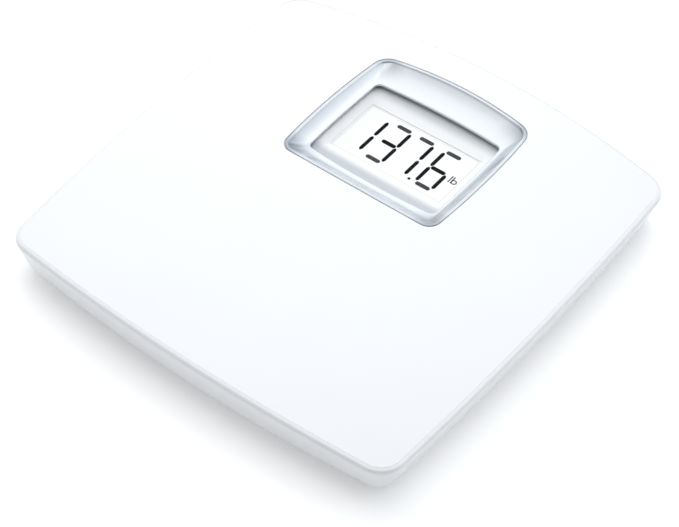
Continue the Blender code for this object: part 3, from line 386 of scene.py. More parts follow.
class Finish(Graph):
    """A material on a Principled shader, with the patterns that the finishes share."""

    def __init__(self, name, **values):
        self.material = bpy.data.materials.new(name)
        self.material.use_nodes = True
        super().__init__(self.material.node_tree)
        self.shader = self.tree.nodes["Principled BSDF"]
        for key, value in values.items():
            self.set(key.replace("_", " ").title().replace("Ior", "IOR"), value)
        self.coords = self.add("ShaderNodeTexCoord", output=3)

    def set(self, key, value):
        """Links a wire to one of the shader's sockets, or gives the socket a constant."""
        if isinstance(value, Wire):
            self.tree.links.new(value.socket, self.shader.inputs[key])
        else:
            self.shader.inputs[key].default_value = value

    def noise(self, scale, detail=3.0, roughness=0.5, stretch=None):
        """A noise value, drawn out where an axis of stretch is under one."""
        coords = self.coords
        if stretch:
            coords = self.add("ShaderNodeMapping", None, {0: coords, 3: stretch})
        return self.add("ShaderNodeTexNoise", None, {0: coords, 2: scale, 3: detail, 4: roughness})

    def cells(self, scale, output=0):
        return self.add("ShaderNodeTexVoronoi", None, {0: self.coords, 2: scale}, output)

    def flakes(self, scale):
        """A value of its own for each small cell."""
        return self.add("ShaderNodeSeparateColor", None, {0: self.cells(scale, output=1)})

    def mix(self, factor, first, second):
        """A colour between first and second."""
        colours = {6: first, 7: second}
        for key, value in colours.items():
            if not isinstance(value, Wire):
                colours[key] = (*value, 1)
        return self.add("ShaderNodeMix", {"data_type": "RGBA"}, {0: factor, **colours}, output=2)

    def axis(self, index):
        """One Object coordinate, in metres."""
        return self.add("ShaderNodeSeparateXYZ", None, {0: self.coords}, output=index)

    def spread(self, value, low, high):
        """A noise value turned into a range from low to high."""
        return self.add("ShaderNodeMapRange", None, {0: value, 1: 0.3, 2: 0.7, 3: low, 4: high})

    def tint(self, pattern, first, second):
        """Colours the surface between first and second, as a noise value varies."""
        self.set("Base Color", self.mix(self.spread(pattern, 0, 1), first, second))

    def roughen(self, pattern, low, high):
        """Varies the roughness from low to high with a noise value."""
        self.set("Roughness", self.spread(pattern, low, high))

    def bump(self, height, distance, strength=1.0):
        """Raises the surface by up to distance, in metres, where height is one."""
        self.set("Normal", self.add("ShaderNodeBump", None, {
            "Strength": strength, "Distance": distance, "Height": height}))


# --- Finishes -------------------------------------------------------------------------------------


def platform_white():
    """Glossy moulded ABS: a faint cloudiness, orange peel from the mould, and light scuffs."""
    finish = Finish("platform_white", coat_weight=0.25, coat_roughness=0.12)
    finish.tint(finish.noise(14, 2), (0.872, 0.876, 0.884), (0.884, 0.887, 0.894))
    finish.set("Roughness", 0.27 + finish.noise(22, 5, 0.6) * 0.05)
    finish.bump(finish.noise(2200, 1), 0.000004, 0.25)
    return finish.material


def tray_plastic():
    """Matt ABS with a spark-eroded texture."""
    finish = Finish("tray_plastic")
    finish.tint(finish.noise(20, 3), (0.70, 0.715, 0.735), (0.74, 0.75, 0.765))
    grain = finish.noise(2600, 4, 0.6)
    finish.roughen(grain, 0.46, 0.60)
    finish.bump(grain, 0.00003, 0.6)
    return finish.material


def bezel_silver():
    """Silver lacquer over plastic with fine metal flakes, with painted shade that darkens it in the corners
    and along the rim.
    """
    finish = Finish("bezel_silver", metallic=0.6)
    flake = finish.flakes(6800)
    middle = (BEZEL_LOW + BEZEL_HIGH) / 2
    reach = (BEZEL_HIGH - BEZEL_LOW) / 2
    across = ((finish.axis(0) - middle.x) / reach.x).maths("ABSOLUTE")
    along = ((finish.axis(1) - middle.y) / reach.y).maths("ABSOLUTE")
    # painted shade: darker silver in the dish's corners and along its rim, where they lie in shade
    corner = (1 - across.below(0.74, 0.20)) * (1 - along.below(0.74, 0.20))
    edge = (1 - across.maths("MAXIMUM", along).below(0.86, 0.08)) * 0.28
    painted_corner_shade = corner.maths("MAXIMUM", edge)
    paler_silver = finish.mix(flake, (0.75, 0.775, 0.80), (0.80, 0.822, 0.842))
    painted_shade_silver = finish.mix(flake, (0.34, 0.375, 0.41), (0.40, 0.435, 0.465))
    finish.set("Base Color", finish.mix(painted_corner_shade, paler_silver, painted_shade_silver))
    finish.roughen(finish.noise(1400, 3), 0.20, 0.26)
    finish.bump(finish.noise(5200, 1), 0.000003, 0.3)
    return finish.material


def surround_fade():
    """Pale satin lacquer, with painted shade that darkens it towards the front and back of the window, under
    the bezel's lip.
    """
    finish = Finish("surround_fade", coat_weight=0.2, coat_roughness=0.2)
    flake = finish.flakes(6400)
    pale = finish.mix(flake, (0.94, 0.945, 0.95), (0.97, 0.973, 0.976))
    silver = finish.mix(flake, (0.51, 0.535, 0.565), (0.58, 0.605, 0.63))
    paler_silver = finish.mix(flake, (0.60, 0.62, 0.645), (0.67, 0.69, 0.71))
    # painted shade: darker silver tones towards the back and front of the window, where the bezel's lip
    # shades the funnel
    y = finish.axis(1)
    back = 1 - y.below(PAINTED_SHADE_BACK, PAINTED_SHADE_SOFTNESS)
    front = y.below(PAINTED_SHADE_FRONT, PAINTED_SHADE_SOFTNESS)
    finish.set("Base Color", finish.mix(front, finish.mix(back, pale, paler_silver), silver))
    finish.roughen(finish.noise(700, 3), 0.32, 0.42)
    finish.bump(finish.noise(4000, 2), 0.000006, 0.4)
    return finish.material


def window_clear():
    """Clear acrylic with a trace of haze and fine wipe marks."""
    finish = Finish("window_clear", ior=1.49)
    wipe = finish.noise(190, 7, 0.7, (0.2, 1, 1))
    finish.set("Base Color", finish.mix(wipe, (0.10, 0.11, 0.12), (0.16, 0.17, 0.18)))
    finish.roughen(wipe, 0.03, 0.09)
    finish.set("Alpha", finish.spread(wipe, 0.012, 0.022))
    return finish.material


def near_line(value, place, width):
    """One within width of the place, where value is a distance in metres."""
    return (value - place).maths("ABSOLUTE").below(width, width * 0.35)


def lcd_face():
    """The cell's pale front polariser, with the faint edge seal round the viewing area."""
    finish = Finish("lcd_face", coat_weight=0.4, coat_roughness=0.08)
    across = (finish.axis(0) - LCD_MIDDLE.x).maths("ABSOLUTE")
    along = (finish.axis(1) - LCD_MIDDLE.y).maths("ABSOLUTE")
    in_x = across - (VIEW_WIDTH / 2 - SEAL_INSET)
    in_y = along - (VIEW_DEPTH / 2 - SEAL_INSET)
    seal = near_line(in_x.maths("MAXIMUM", in_y), 0.0, SEAL_WIDTH)
    grain = finish.spread(finish.noise(2400, 2), 0, 1)
    face = finish.mix(grain, (0.955, 0.955, 0.950), (0.975, 0.975, 0.971))
    finish.set("Base Color", finish.mix(seal * 0.8, face, (0.76, 0.725, 0.68)))
    finish.roughen(finish.noise(300, 4), 0.18, 0.26)
    return finish.material


def ink(name, colour):
    """Switched-on liquid crystal: dark, with a slight unevenness of contrast."""
    finish = Finish(name)
    finish.set("Specular IOR Level", 0.05)
    finish.tint(finish.noise(500, 3), colour, tuple(share * 1.5 for share in colour))
    finish.roughen(finish.noise(1200, 2), 0.35, 0.5)
    return finish.material


def grained(name, dark, light, rough, grain_scale, bump_depth, metallic=0.0):
    """A plain material with cloudy colour, uneven gloss and a fine surface grain."""
    finish = Finish(name, metallic=metallic)
    finish.tint(finish.noise(120, 4), dark, light)
    grain = finish.noise(grain_scale, 4, 0.6)
    finish.roughen(grain, *rough)
    finish.bump(grain, bump_depth, 0.5)
    return finish.material


def rolled_steel():
    """Cold-rolled plate with lengthwise roll marks and light oil staining."""
    finish = Finish("rolled_steel", metallic=1.0)
    marks = finish.noise(900, 5, 0.7, (1, 0.04, 1))
    stain = finish.noise(60, 4)
    finish.tint(stain, (0.46, 0.47, 0.48), (0.60, 0.60, 0.59))
    finish.roughen(marks, 0.28, 0.45)
    finish.bump(marks, 0.00001, 0.5)
    return finish.material


def board_green():
    """Solder mask over copper: a lattice of traces that stands out slightly, with bare round pads."""
    finish = Finish("board_green", coat_weight=0.5, coat_roughness=0.15)
    lanes = finish.axis(0).maths("PINGPONG", TRACE_PITCH / 2)
    rows = finish.axis(1).maths("PINGPONG", TRACE_PITCH)
    patch = finish.noise(55, 1).maths("GREATER_THAN", 0.5)
    lane_trace = lanes.below(TRACE_HALF, TRACE_HALF / 4) * patch
    row_trace = rows.below(TRACE_HALF, TRACE_HALF / 4) * (1 - patch)
    trace = lane_trace.maths("MAXIMUM", row_trace)
    mask = finish.mix(trace, (0.012, 0.10, 0.045), (0.03, 0.21, 0.085))
    pad = finish.cells(190).below(0.16, 0.03)
    finish.set("Base Color", finish.mix(pad, mask, (0.80, 0.62, 0.32)))
    finish.set("Metallic", pad * 0.9)
    finish.roughen(finish.noise(800, 3), 0.28, 0.40)
    finish.bump(trace + pad, 0.00003, 0.6)
    return finish.material


def gauge_film():
    """Amber polyimide film with a metal foil grid in its middle."""
    finish = Finish("gauge_film", coat_weight=0.4)
    lines = finish.axis(0).maths("PINGPONG", 0.0003)
    grid = lines.below(0.00016, 0.00003)
    finish.set("Base Color", finish.mix(grid, (0.42, 0.20, 0.04), (0.60, 0.52, 0.42)))
    finish.set("Metallic", grid * 0.8)
    finish.roughen(finish.noise(900, 3), 0.25, 0.38)
    return finish.material


def pad_rubber():
    """Matt rubber with a pitted face and a dusting of grey where it has stood."""
    finish = Finish("pad_rubber")
    dust = finish.noise(320, 6, 0.65)
    finish.tint(dust, (0.030, 0.031, 0.033), (0.062, 0.062, 0.061))
    pits = finish.cells(2400).below(0.28, 0.1)
    finish.roughen(dust, 0.62, 0.82)
    finish.bump(finish.noise(3000, 3) - pits * 0.5, 0.00005, 0.7)
    return finish.material


def vinyl(name, dark, light):
    """Soft insulation with a slight bloom, and fine draw marks round it."""
    finish = Finish(name, coat_weight=0.15, coat_roughness=0.3)
    finish.tint(finish.noise(260, 3), dark, light)
    finish.roughen(finish.noise(1800, 4), 0.34, 0.5)
    finish.bump(finish.noise(1500, 2), 0.00001, 0.4)
    return finish.material


def epoxy():
    """Black potting over the chip, glossy with a slow ripple."""
    finish = Finish("potting_epoxy", coat_weight=0.6, coat_roughness=0.08)
    ripple = finish.noise(240, 3)
    finish.tint(ripple, (0.008, 0.008, 0.009), (0.018, 0.018, 0.02))
    finish.roughen(finish.noise(900, 3), 0.2, 0.34)
    finish.bump(ripple, 0.0001, 0.6)
    return finish.material


def reflector():
    """Silvered film, finely brushed across."""
    finish = Finish("reflector", metallic=0.9)
    brush = finish.noise(700, 5, 0.7, (0.03, 1, 1))
    finish.tint(brush, (0.70, 0.715, 0.73), (0.80, 0.81, 0.82))
    finish.roughen(brush, 0.28, 0.42)
    finish.bump(brush, 0.000006, 0.4)
    return finish.material


def zebra():
    """Silicone strip of thin conducting and insulating layers."""
    finish = Finish("zebra_layers")
    layers = finish.axis(0).maths("PINGPONG", 0.0002)
    dark = layers.below(0.0001, 0.00002)
    finish.set("Base Color", finish.mix(dark, (0.42, 0.41, 0.40), (0.02, 0.02, 0.022)))
    finish.roughen(finish.noise(1200, 3), 0.5, 0.65)
    return finish.material


def coin_steel():
    """Pressed stainless can with a circular brush and fingerprints."""
    finish = Finish("coin_steel", metallic=1.0)
    low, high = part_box("coin_cell")
    x = finish.axis(0) - (low[0] + high[0]) / 2
    y = finish.axis(1) - (low[1] + high[1]) / 2
    radius = (x * x + y * y).maths("SQRT")
    rings = radius.maths("PINGPONG", COIN_RING) * (1 / COIN_RING)
    finish.tint(finish.noise(420, 5, 0.65), (0.58, 0.585, 0.59), (0.70, 0.70, 0.695))
    finish.roughen(finish.noise(900, 4), 0.2, 0.36)
    finish.bump(rings, 0.000004, 0.5)
    return finish.material


def zinc_plate():
    """Clear-passivated zinc with a faint spangle."""
    finish = Finish("zinc_plate", metallic=1.0)
    spangle = finish.flakes(1500)
    finish.set("Base Color", finish.mix(spangle, (0.55, 0.56, 0.575), (0.69, 0.70, 0.71)))
    finish.roughen(finish.noise(2000, 4), 0.22, 0.42)
    finish.bump(finish.noise(2600, 3), 0.000008, 0.5)
    return finish.material


def floor_white():
    """A white light table, lit a little from below."""
    finish = Finish("floor_white", roughness=0.9, emission_strength=FLOOR_GLOW)
    finish.tint(finish.noise(3, 2), (0.96, 0.955, 0.95), (0.97, 0.965, 0.96))
    finish.set("Specular IOR Level", 0.0)
    finish.set("Emission Color", (1, 1, 1, 1))
    return finish.material


# --- Outlines and skins ---------------------------------------------------------------------------


def bowed_run(start, end, bow, radii):
    """(point, normal) pairs along an arc that bulges to its right by bow, moved out by a radius."""
    chord = end - start
    along = chord.normalized()
    out = Vector((along.y, -along.x))
    bend = (chord.length**2 / 4 + bow**2) / (2 * bow)
    centre = (start + end) / 2 - out * (bend - bow)
    half = math.asin(chord.length / 2 / bend)
    pairs = []
    for i in range(SIDE_STEPS + 1):
        share = i / SIDE_STEPS
        turn = half * (2 * share - 1)
        normal = out * math.cos(turn) + along * math.sin(turn)
        pairs.append((centre + normal * (bend + radii[0] + (radii[1] - radii[0]) * share), normal))
    return pairs


def rounded_outline(front, back, depth, bows, corners, centre_y=0.0):
    """(point, outward normal) pairs, anticlockwise, of four bowed sides with round corners."""
    ends = ((-1, -1), (1, -1), (1, 1), (-1, 1))
    spots = []
    for sx, sy in ends:
        width, bow, radius = (front, bows[0], corners[0]) if sy < 0 else (back, bows[2], corners[1])
        spots.append(Vector((sx * (width / 2 - bows[1] - radius), sy * (depth / 2 - bow - radius))))
    run_bows = (bows[0], bows[1], bows[2], bows[1])
    radii = [(corners[0], corners[0]), corners, (corners[1], corners[1]), corners[::-1]]
    runs = [bowed_run(spots[i], spots[(i + 1) % 4], run_bows[i], radii[i]) for i in range(4)]
    pairs = []
    for i, run in enumerate(runs):
        pairs += run
        start = run[-1][1]
        turn = start.angle_signed(runs[(i + 1) % 4][0][1])
        radius = radii[i][1]
        middle = run[-1][0] - start * radius
        for step in range(1, CORNER_STEPS):
            normal = start.copy()
            normal.rotate(Matrix.Rotation(-turn * step / CORNER_STEPS, 2))
            pairs.append((middle + normal * radius, normal))
    return [(point + Vector((0, centre_y)), normal) for point, normal in pairs]


PLATFORM = rounded_outline(
    WIDTH * (1 - BACK_WIDENING), WIDTH * (1 + BACK_WIDENING), DEPTH, PLATFORM_BOWS, PLATFORM_CORNERS)
BEZEL_WIDTH = BEZEL_HIGH.x - BEZEL_LOW.x
BEZEL = rounded_outline(
    BEZEL_WIDTH, BEZEL_WIDTH, BEZEL_HIGH.y - BEZEL_LOW.y, BEZEL_BOWS, BEZEL_CORNERS, BEZEL_Y)
WINDOW = rounded_outline(WINDOW_WIDTH, WINDOW_WIDTH, WINDOW_DEPTH, WINDOW_BOWS, WINDOW_CORNERS, WINDOW_Y)
LCD_VIEW = rounded_outline(
    VIEW_WIDTH, VIEW_WIDTH, VIEW_DEPTH, (VIEW_BOW,) * 3, (VIEW_CORNER,) * 2, LCD_MIDDLE.y)


def ring(pairs, outset, height):
    """The outline moved out by outset, at a height that is a number or a function of x and y."""
    points = [point + normal * outset for point, normal in pairs]
    return [Vector((p.x, p.y, height(p.x, p.y) if callable(height) else height)) for p in points]


def below_crown(depth):
    """Height at a depth below the platform's top surface, as a function of x and y."""
    return lambda x, y: crown(x, y) - depth


def on_crown(points, depth=0.0):
    """The points, each moved to a depth below the platform's top surface."""
    return [Vector((p.x, p.y, crown(p.x, p.y) - depth)) for p in points]


def blend_rings(first, second, share, fall=None):
    """A ring between two others: share of the way across, and fall of the way in height."""
    fall = share if fall is None else fall
    return [
        Vector((a.x + (b.x - a.x) * share, a.y + (b.y - a.y) * share, a.z + (b.z - a.z) * fall))
        for a, b in zip(first, second)
    ]


def make_piece(name, builder, material, sharp=35):
    """A finished piece from a bmesh, shaded smooth but for edges sharper than the angle given."""
    bmesh.ops.remove_doubles(builder, verts=builder.verts, dist=1e-7)
    bmesh.ops.recalc_face_normals(builder, faces=builder.faces)
    mesh = bpy.data.meshes.new(name)
    builder.to_mesh(mesh)
    builder.free()
    piece = bpy.data.objects.new(name, mesh)
    bpy.context.scene.collection.objects.link(piece)
    mesh.materials.append(material)
    mesh.shade_smooth()
    mesh.set_sharp_from_angle(angle=math.radians(sharp))
    return piece


def loft(name, rings, material, closed=False, sharp=35):
    """A skin over the rings, which closed joins end to end and which fans cap otherwise."""
    builder = bmesh.new()
    rows = [[builder.verts.new(point) for point in points] for points in rings]
    count = len(rows[0])
    pairs = list(zip(rows, rows[1:]))
    if closed:
        pairs.append((rows[-1], rows[0]))
    for low, high in pairs:
        for i in range(count):
            j = (i + 1) % count
            builder.faces.new((low[i], low[j], high[j], high[i]))
    if not closed:
        for row in (rows[0], rows[-1]):
            middle = builder.verts.new(sum((vert.co for vert in row), Vector()) / count)
            for i in range(count):
                builder.faces.new((row[i], row[(i + 1) % count], middle))
    return make_piece(name, builder, material, sharp)


def arc(radius, start, end, steps):
    """Pairs (inset, fall) along a quarter round, from degrees start to end of its turn."""
    turns = [math.radians(start + (end - start) * i / steps) for i in range(steps + 1)]
    return [(radius * (1 - math.cos(turn)), radius * (1 - math.sin(turn))) for turn in turns]


# --- Platform cover -------------------------------------------------------------------------------


def skirt_ring(inset, height, lift=0.0):
    """The skirt's outline at a height, drawn in by inset more than its taper takes it."""
    points = []
    for point, normal in PLATFORM:
        rim = crown(point.x, point.y) - RIM_RADIUS
        taper = SKIRT_TAPER_SIDE + (SKIRT_TAPER_END - SKIRT_TAPER_SIDE) * normal.y**2
        level = min(height, rim)
        spot = point - normal * (taper * (rim - level) / (rim - SKIRT_BOTTOM) + inset)
        points.append(Vector((spot.x, spot.y, level + lift)))
    return points


def rim_ring(inset, fall):
    """The platform's outline drawn in by inset, at the crown's height at the outline less fall."""
    points = []
    for point, normal in PLATFORM:
        spot = point - normal * inset
        points.append(Vector((spot.x, spot.y, crown(point.x, point.y) - fall)))
    return points


def platform_cover(material):
    """The moulded shell: crowned top, groove and round along its rim, skirt, and display opening."""
    opening = ring(BEZEL, GAP, below_crown(OPENING_EDGE))
    edge_break = ring(BEZEL, GAP + OPENING_EDGE, below_crown(0))
    groove_outer = RIM_GROOVE_INSET - RIM_GROOVE_WIDTH / 2
    groove_inner = RIM_GROOVE_INSET + RIM_GROOVE_WIDTH / 2
    top_edge = ring(PLATFORM, -groove_inner, below_crown(0))
    rings = [opening, edge_break]
    for step in range(1, TOP_STEPS):
        rings.append(on_crown(blend_rings(edge_break, top_edge, step / TOP_STEPS)))
    rings += [
        top_edge,
        ring(PLATFORM, -RIM_GROOVE_INSET - RIM_GROOVE_FLOOR, below_crown(RIM_GROOVE_DEPTH)),
        ring(PLATFORM, -RIM_GROOVE_INSET + RIM_GROOVE_FLOOR, below_crown(RIM_GROOVE_DEPTH)),
        ring(PLATFORM, -groove_outer, below_crown(0)),
    ]
    rings += [rim_ring(inset, fall) for inset, fall in reversed(arc(RIM_RADIUS, 0, 88, 10))]
    low_round = arc(SKIRT_EDGE_RADIUS, 0, 90, 4)
    for share in (0.25, 0.5, 0.75):
        rings.append([
            a.lerp(b, share)
            for a, b in zip(rim_ring(0, RIM_RADIUS), skirt_ring(0, SKIRT_BOTTOM + SKIRT_EDGE_RADIUS))
        ])
    rings += [skirt_ring(inset, SKIRT_BOTTOM + fall) for inset, fall in low_round]
    rings += [skirt_ring(WALL - inset, SKIRT_BOTTOM + fall) for inset, fall in reversed(low_round)]
    rings.append([a.lerp(b, WALL_FOOT) for a, b in zip(
        skirt_ring(WALL, SKIRT_BOTTOM + SKIRT_EDGE_RADIUS), rim_ring(WALL, RIM_RADIUS + WALL / 2))])
    under_edge = ring(PLATFORM, SKIRT_EDGE_RADIUS - 2 * WALL, below_crown(WALL))
    hole = ring(BEZEL, -BEZEL_REBATE, below_crown(WALL))
    rings.append(under_edge)
    for step in range(1, UNDERSIDE_STEPS):
        rings.append(on_crown(blend_rings(under_edge, hole, step / UNDERSIDE_STEPS), WALL))
    rings += [
        hole,
        ring(BEZEL, -BEZEL_REBATE, below_crown(BEZEL_RIM_THICKNESS + GAP)),
        ring(BEZEL, GAP, below_crown(BEZEL_RIM_THICKNESS + GAP)),
    ]
    return loft("platform_shell", rings, material, closed=True)


# --- Display --------------------------------------------------------------------------------------


def display_bezel(material):
    """The silver dish: a rim with broken edges, then a concave slope to a rounded inner lip."""
    rim_edge = ring(BEZEL, -BEZEL_RIM + RIM_STEP, below_crown(0))
    inner_rim = ring(BEZEL, -BEZEL_RIM, below_crown(RIM_STEP))
    lip = ring(WINDOW, LIP_ROUND, LIP_Z)
    broken_rim = [
        ring(BEZEL, -RIM_RELIEF - inset, below_crown(fall))
        for inset, fall in arc(BEZEL_EDGE_RADIUS, 0, 90, 4)
    ]
    rounded_rim = [
        blend_rings(rim_edge, inner_rim, share, 1 - math.cos(share * math.pi / 2))
        for share in (0.33, 0.67, 1)
    ]
    slope = []
    for step in range(1, DISH_STEPS):
        share = step / DISH_STEPS
        slope.append(blend_rings(inner_rim, lip, share, 1 - (1 - share) ** DISH_CURVE))
    round_lip = [
        ring(WINDOW, LIP_ROUND * (1 - math.sin(turn)), LIP_Z - LIP_ROUND * (1 - math.cos(turn)))
        for turn in (math.radians(degrees) for degrees in (30, 60, 90))
    ]
    skirt = BEZEL_REBATE + GAP
    rings = [
        ring(BEZEL, -RIM_RELIEF, below_crown(BEZEL_RIM_THICKNESS)),
        *broken_rim,
        rim_edge,
        *rounded_rim,
        *slope,
        lip,
        *round_lip,
        ring(WINDOW, 0, LIP_Z - LIP_THICKNESS),
        ring(WINDOW, LIP_THICKNESS, LIP_Z - LIP_THICKNESS),
        ring(BEZEL, -skirt, below_crown(BEZEL_SKIRT)),
        ring(BEZEL, -skirt, below_crown(BEZEL_RIM_THICKNESS)),
    ]
    return loft("silver_dish", rings, material, closed=True, sharp=50)


def display_window(material):
    """The clear pane, with its edges broken."""
    return loft("window_pane", [
        ring(WINDOW, PANE_MARGIN - PANE_EDGE, PANE_LOW.z),
        ring(WINDOW, PANE_MARGIN, PANE_LOW.z + PANE_EDGE),
        ring(WINDOW, PANE_MARGIN, PANE_HIGH.z - PANE_EDGE),
        ring(WINDOW, PANE_MARGIN - PANE_EDGE, PANE_HIGH.z),
    ], material)


def display_surround(material):
    """The funnel from the window down to the cell, with a turned-out flange round its top."""
    top, bottom = SURROUND_HIGH.z, SURROUND_HIGH.z - SURROUND_WALL
    low = LCD_HIGH.z + GAP / 3
    soft = 0.0003
    return loft("surround_funnel", [
        ring(WINDOW, SURROUND_MARGIN, bottom),
        ring(WINDOW, SURROUND_MARGIN, top - soft),
        ring(WINDOW, SURROUND_MARGIN - soft, top),
        ring(WINDOW, SURROUND_WALL + soft, top),
        ring(WINDOW, SURROUND_WALL - soft, top - soft),
        *[blend_rings(ring(WINDOW, SURROUND_WALL, top), ring(LCD_VIEW, 0, low + GAP), share)
          for share in (0.15, 0.3, 0.45, 0.6, 0.75, 0.9)],
        ring(LCD_VIEW, 0, low + GAP),
        ring(LCD_VIEW, 0, low),
        ring(LCD_VIEW, SURROUND_WALL, low),
        ring(WINDOW, -SURROUND_WALL, bottom),
    ], material, closed=True)


def plate(builder, points, low, high):
    """Adds a flat plate with the outline points, given anticlockwise, to a bmesh."""
    count = len(points)
    rows = [[builder.verts.new((x, y, z)) for x, y in points] for z in (low, high)]
    for i in range(count):
        j = (i + 1) % count
        builder.faces.new((rows[0][i], rows[0][j], rows[1][j], rows[1][i]))
    builder.faces.new(rows[1])
    builder.faces.new(reversed(rows[0]))


def upright_segment(x, low, high):
    """Outline of an upright stroke whose ends come to blunt points."""
    half, tip = DIGIT_STROKE / 2, DIGIT_STROKE * 0.22
    taper = DIGIT_STROKE * 0.55
    return [(x - tip, low), (x + tip, low), (x + half, low + taper), (x + half, high - taper),
            (x + tip, high), (x - tip, high), (x - half, high - taper), (x - half, low + taper)]


def level_segment(x, y, length, stroke):
    """Outline of a level stroke with round ends."""
    radius = stroke / 2
    reach = length / 2 - radius
    turns = [math.radians(-90 + 22.5 * i) for i in range(9)]
    right = [(x + reach + radius * math.cos(turn), y + radius * math.sin(turn)) for turn in turns]
    left = [(x - reach - radius * math.cos(turn), y - radius * math.sin(turn)) for turn in turns]
    return right + left


def round_dot(x, y, radius):
    """Outline of the decimal point."""
    turns = [math.tau * i / DOT_STEPS for i in range(DOT_STEPS)]
    return [(x + radius * math.cos(turn), y + radius * math.sin(turn)) for turn in turns]


LIT = {"1": "bc", "3": "abcdg", "7": "abc", "6": "acdefg"}


def digit_outlines(figure, x):
    """Dark and lighter segment outlines of one figure whose right-hand stroke is at x."""
    middle = LCD_MIDDLE.y + DIGIT_RAISE
    top, bottom = middle + DIGIT_HEIGHT / 2, middle - DIGIT_HEIGHT / 2
    near, far = 0.0008, DIGIT_STROKE * 0.65
    uprights = {
        "b": (x, middle + near, top - far), "c": (x, bottom + far, middle - near),
        "e": (x - DIGIT_WIDTH, bottom + far, middle - near), "f": (x - DIGIT_WIDTH, middle + near, top - far)}
    levels = {"a": top, "d": bottom, "g": middle}
    dark, light = [], []
    for segment in LIT[figure]:
        if segment in uprights:
            dark.append(upright_segment(*uprights[segment]))
        else:
            outline = level_segment(x - DIGIT_WIDTH / 2, levels[segment], DIGIT_BAR, DIGIT_BAR_STROKE)
            (dark if segment == "g" else light).append(outline)
    return dark, light


def unit_outlines():
    """The small letters of the pound sign, a plain l and a plain b."""
    x, low, high = UNIT_X, UNIT_LOW, UNIT_HIGH
    half = UNIT_STROKE / 2
    outlines = [[(place - half, low), (place + half, low), (place + half, high), (place - half, high)]
                for place in (x, x + UNIT_PITCH)]
    middle = Vector((x + UNIT_PITCH + UNIT_BOWL - half, low + UNIT_BOWL))
    for step in range(BOWL_STEPS):
        start, end = (math.tau * (step + i) / BOWL_STEPS for i in (0, 1))
        corners = ((UNIT_BOWL, start), (UNIT_BOWL, end), (UNIT_BOWL - UNIT_STROKE, end),
                   (UNIT_BOWL - UNIT_STROKE, start))
        outlines.append([
            tuple(middle + Vector((math.cos(turn), math.sin(turn))) * radius) for radius, turn in corners])
    return outlines


def lcd_readout(dark_ink, light_ink, unit_ink):
    """The lit segments, as plates of liquid crystal just above the cell's face."""
    dark = [round_dot(POINT_X, LCD_MIDDLE.y + DIGIT_RAISE - DIGIT_HEIGHT / 2, POINT_RADIUS)]
    light = []
    for figure, x in READING:
        more_dark, more_light = digit_outlines(figure, x)
        dark += more_dark
        light += more_light
    low, high = LCD_HIGH.z + INK_LIFT, LCD_HIGH.z + INK_LIFT + INK_THICKNESS
    pieces = []
    groups = {"lit_uprights": (dark, dark_ink), "lit_bars": (light, light_ink),
              "unit_mark": (unit_outlines(), unit_ink)}
    for name, (outlines, material) in groups.items():
        builder = bmesh.new()
        for outline in outlines:
            plate(builder, outline, low, high)
        pieces.append(make_piece(name, builder, material))
    return pieces


# --- Pieces that repeat the CAD's own shapes with finer edges -------------------------------------


def softened(node, material, bevel=0.00015, angle=30):
    """A copy of a CAD node with its flats joined up and its edges broken."""
    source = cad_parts[node]
    builder = bmesh.new()
    builder.from_mesh(source.data)
    bmesh.ops.remove_doubles(builder, verts=builder.verts, dist=1e-6)
    bmesh.ops.dissolve_limit(builder, angle_limit=math.radians(1), verts=builder.verts, edges=builder.edges)
    piece = make_piece(f"{node}_finished", builder, material, angle)
    if bevel:
        edge = piece.modifiers.new("edge", "BEVEL")
        edge.width = bevel
        edge.segments = 2
        edge.limit_method = "ANGLE"
        edge.angle_limit = math.radians(angle)
        edge.harden_normals = True
    return piece


def lathe(name, centre, profile, material, steps=LATHE_STEPS):
    """A turned solid about an upright axis; profile lists (radius, z) from the bottom up."""
    turns = [math.tau * i / steps for i in range(steps)]
    x, y = centre
    return loft(name, [
        [Vector((x + r * math.cos(turn), y + r * math.sin(turn), z)) for turn in turns] for r, z in profile
    ], material)


def seed_box(size, centre=(0, 0, 0), bevel=0.0):
    """A small block, with broken edges, for a layout to repeat."""
    builder = bmesh.new()
    bmesh.ops.create_cube(builder, size=1)
    bmesh.ops.scale(builder, verts=builder.verts, vec=size)
    bmesh.ops.translate(builder, verts=builder.verts, vec=centre)
    if bevel:
        bmesh.ops.bevel(
            builder, geom=list(builder.edges), offset=bevel, segments=2, affect="EDGES", profile=0.5)
    mesh = bpy.data.meshes.new("seed")
    builder.to_mesh(mesh)
    builder.free()
    seed = bpy.data.objects.new("seed", mesh)
    bpy.context.scene.collection.objects.link(seed)
    return seed


# --- Inside of the shell --------------------------------------------------------------------------


def inside_span(axis, other):
    """Where the shell's inside starts and ends along one axis, at a value of the other axis."""
    values = [point[axis] for point, _ in PLATFORM if abs(point[1 - axis] - other) < RIB_REACH]
    return min(values) + RIB_END_INSET, max(values) - RIB_END_INSET


def add_rib(builder, axis, place, start, end):
    """A straight rib, cut into short lengths so that its upper edge can follow the crown."""
    count = max(2, round((end - start) / RIB_STEP))
    half = RIB_THICKNESS / 2
    rows = []
    for i in range(count + 1):
        along = start + (end - start) * i / count
        corners = ((-half, RIB_BOTTOM), (half, RIB_BOTTOM), (half, TOP), (-half, TOP))
        spots = [(along, place + side, z) if axis == 0 else (place + side, along, z) for side, z in corners]
        rows.append([builder.verts.new(spot) for spot in spots])
    for first, second in zip(rows, rows[1:]):
        for i in range(4):
            j = (i + 1) % 4
            builder.faces.new((first[i], first[j], second[j], second[i]))
    builder.faces.new(rows[0])
    builder.faces.new(rows[-1])


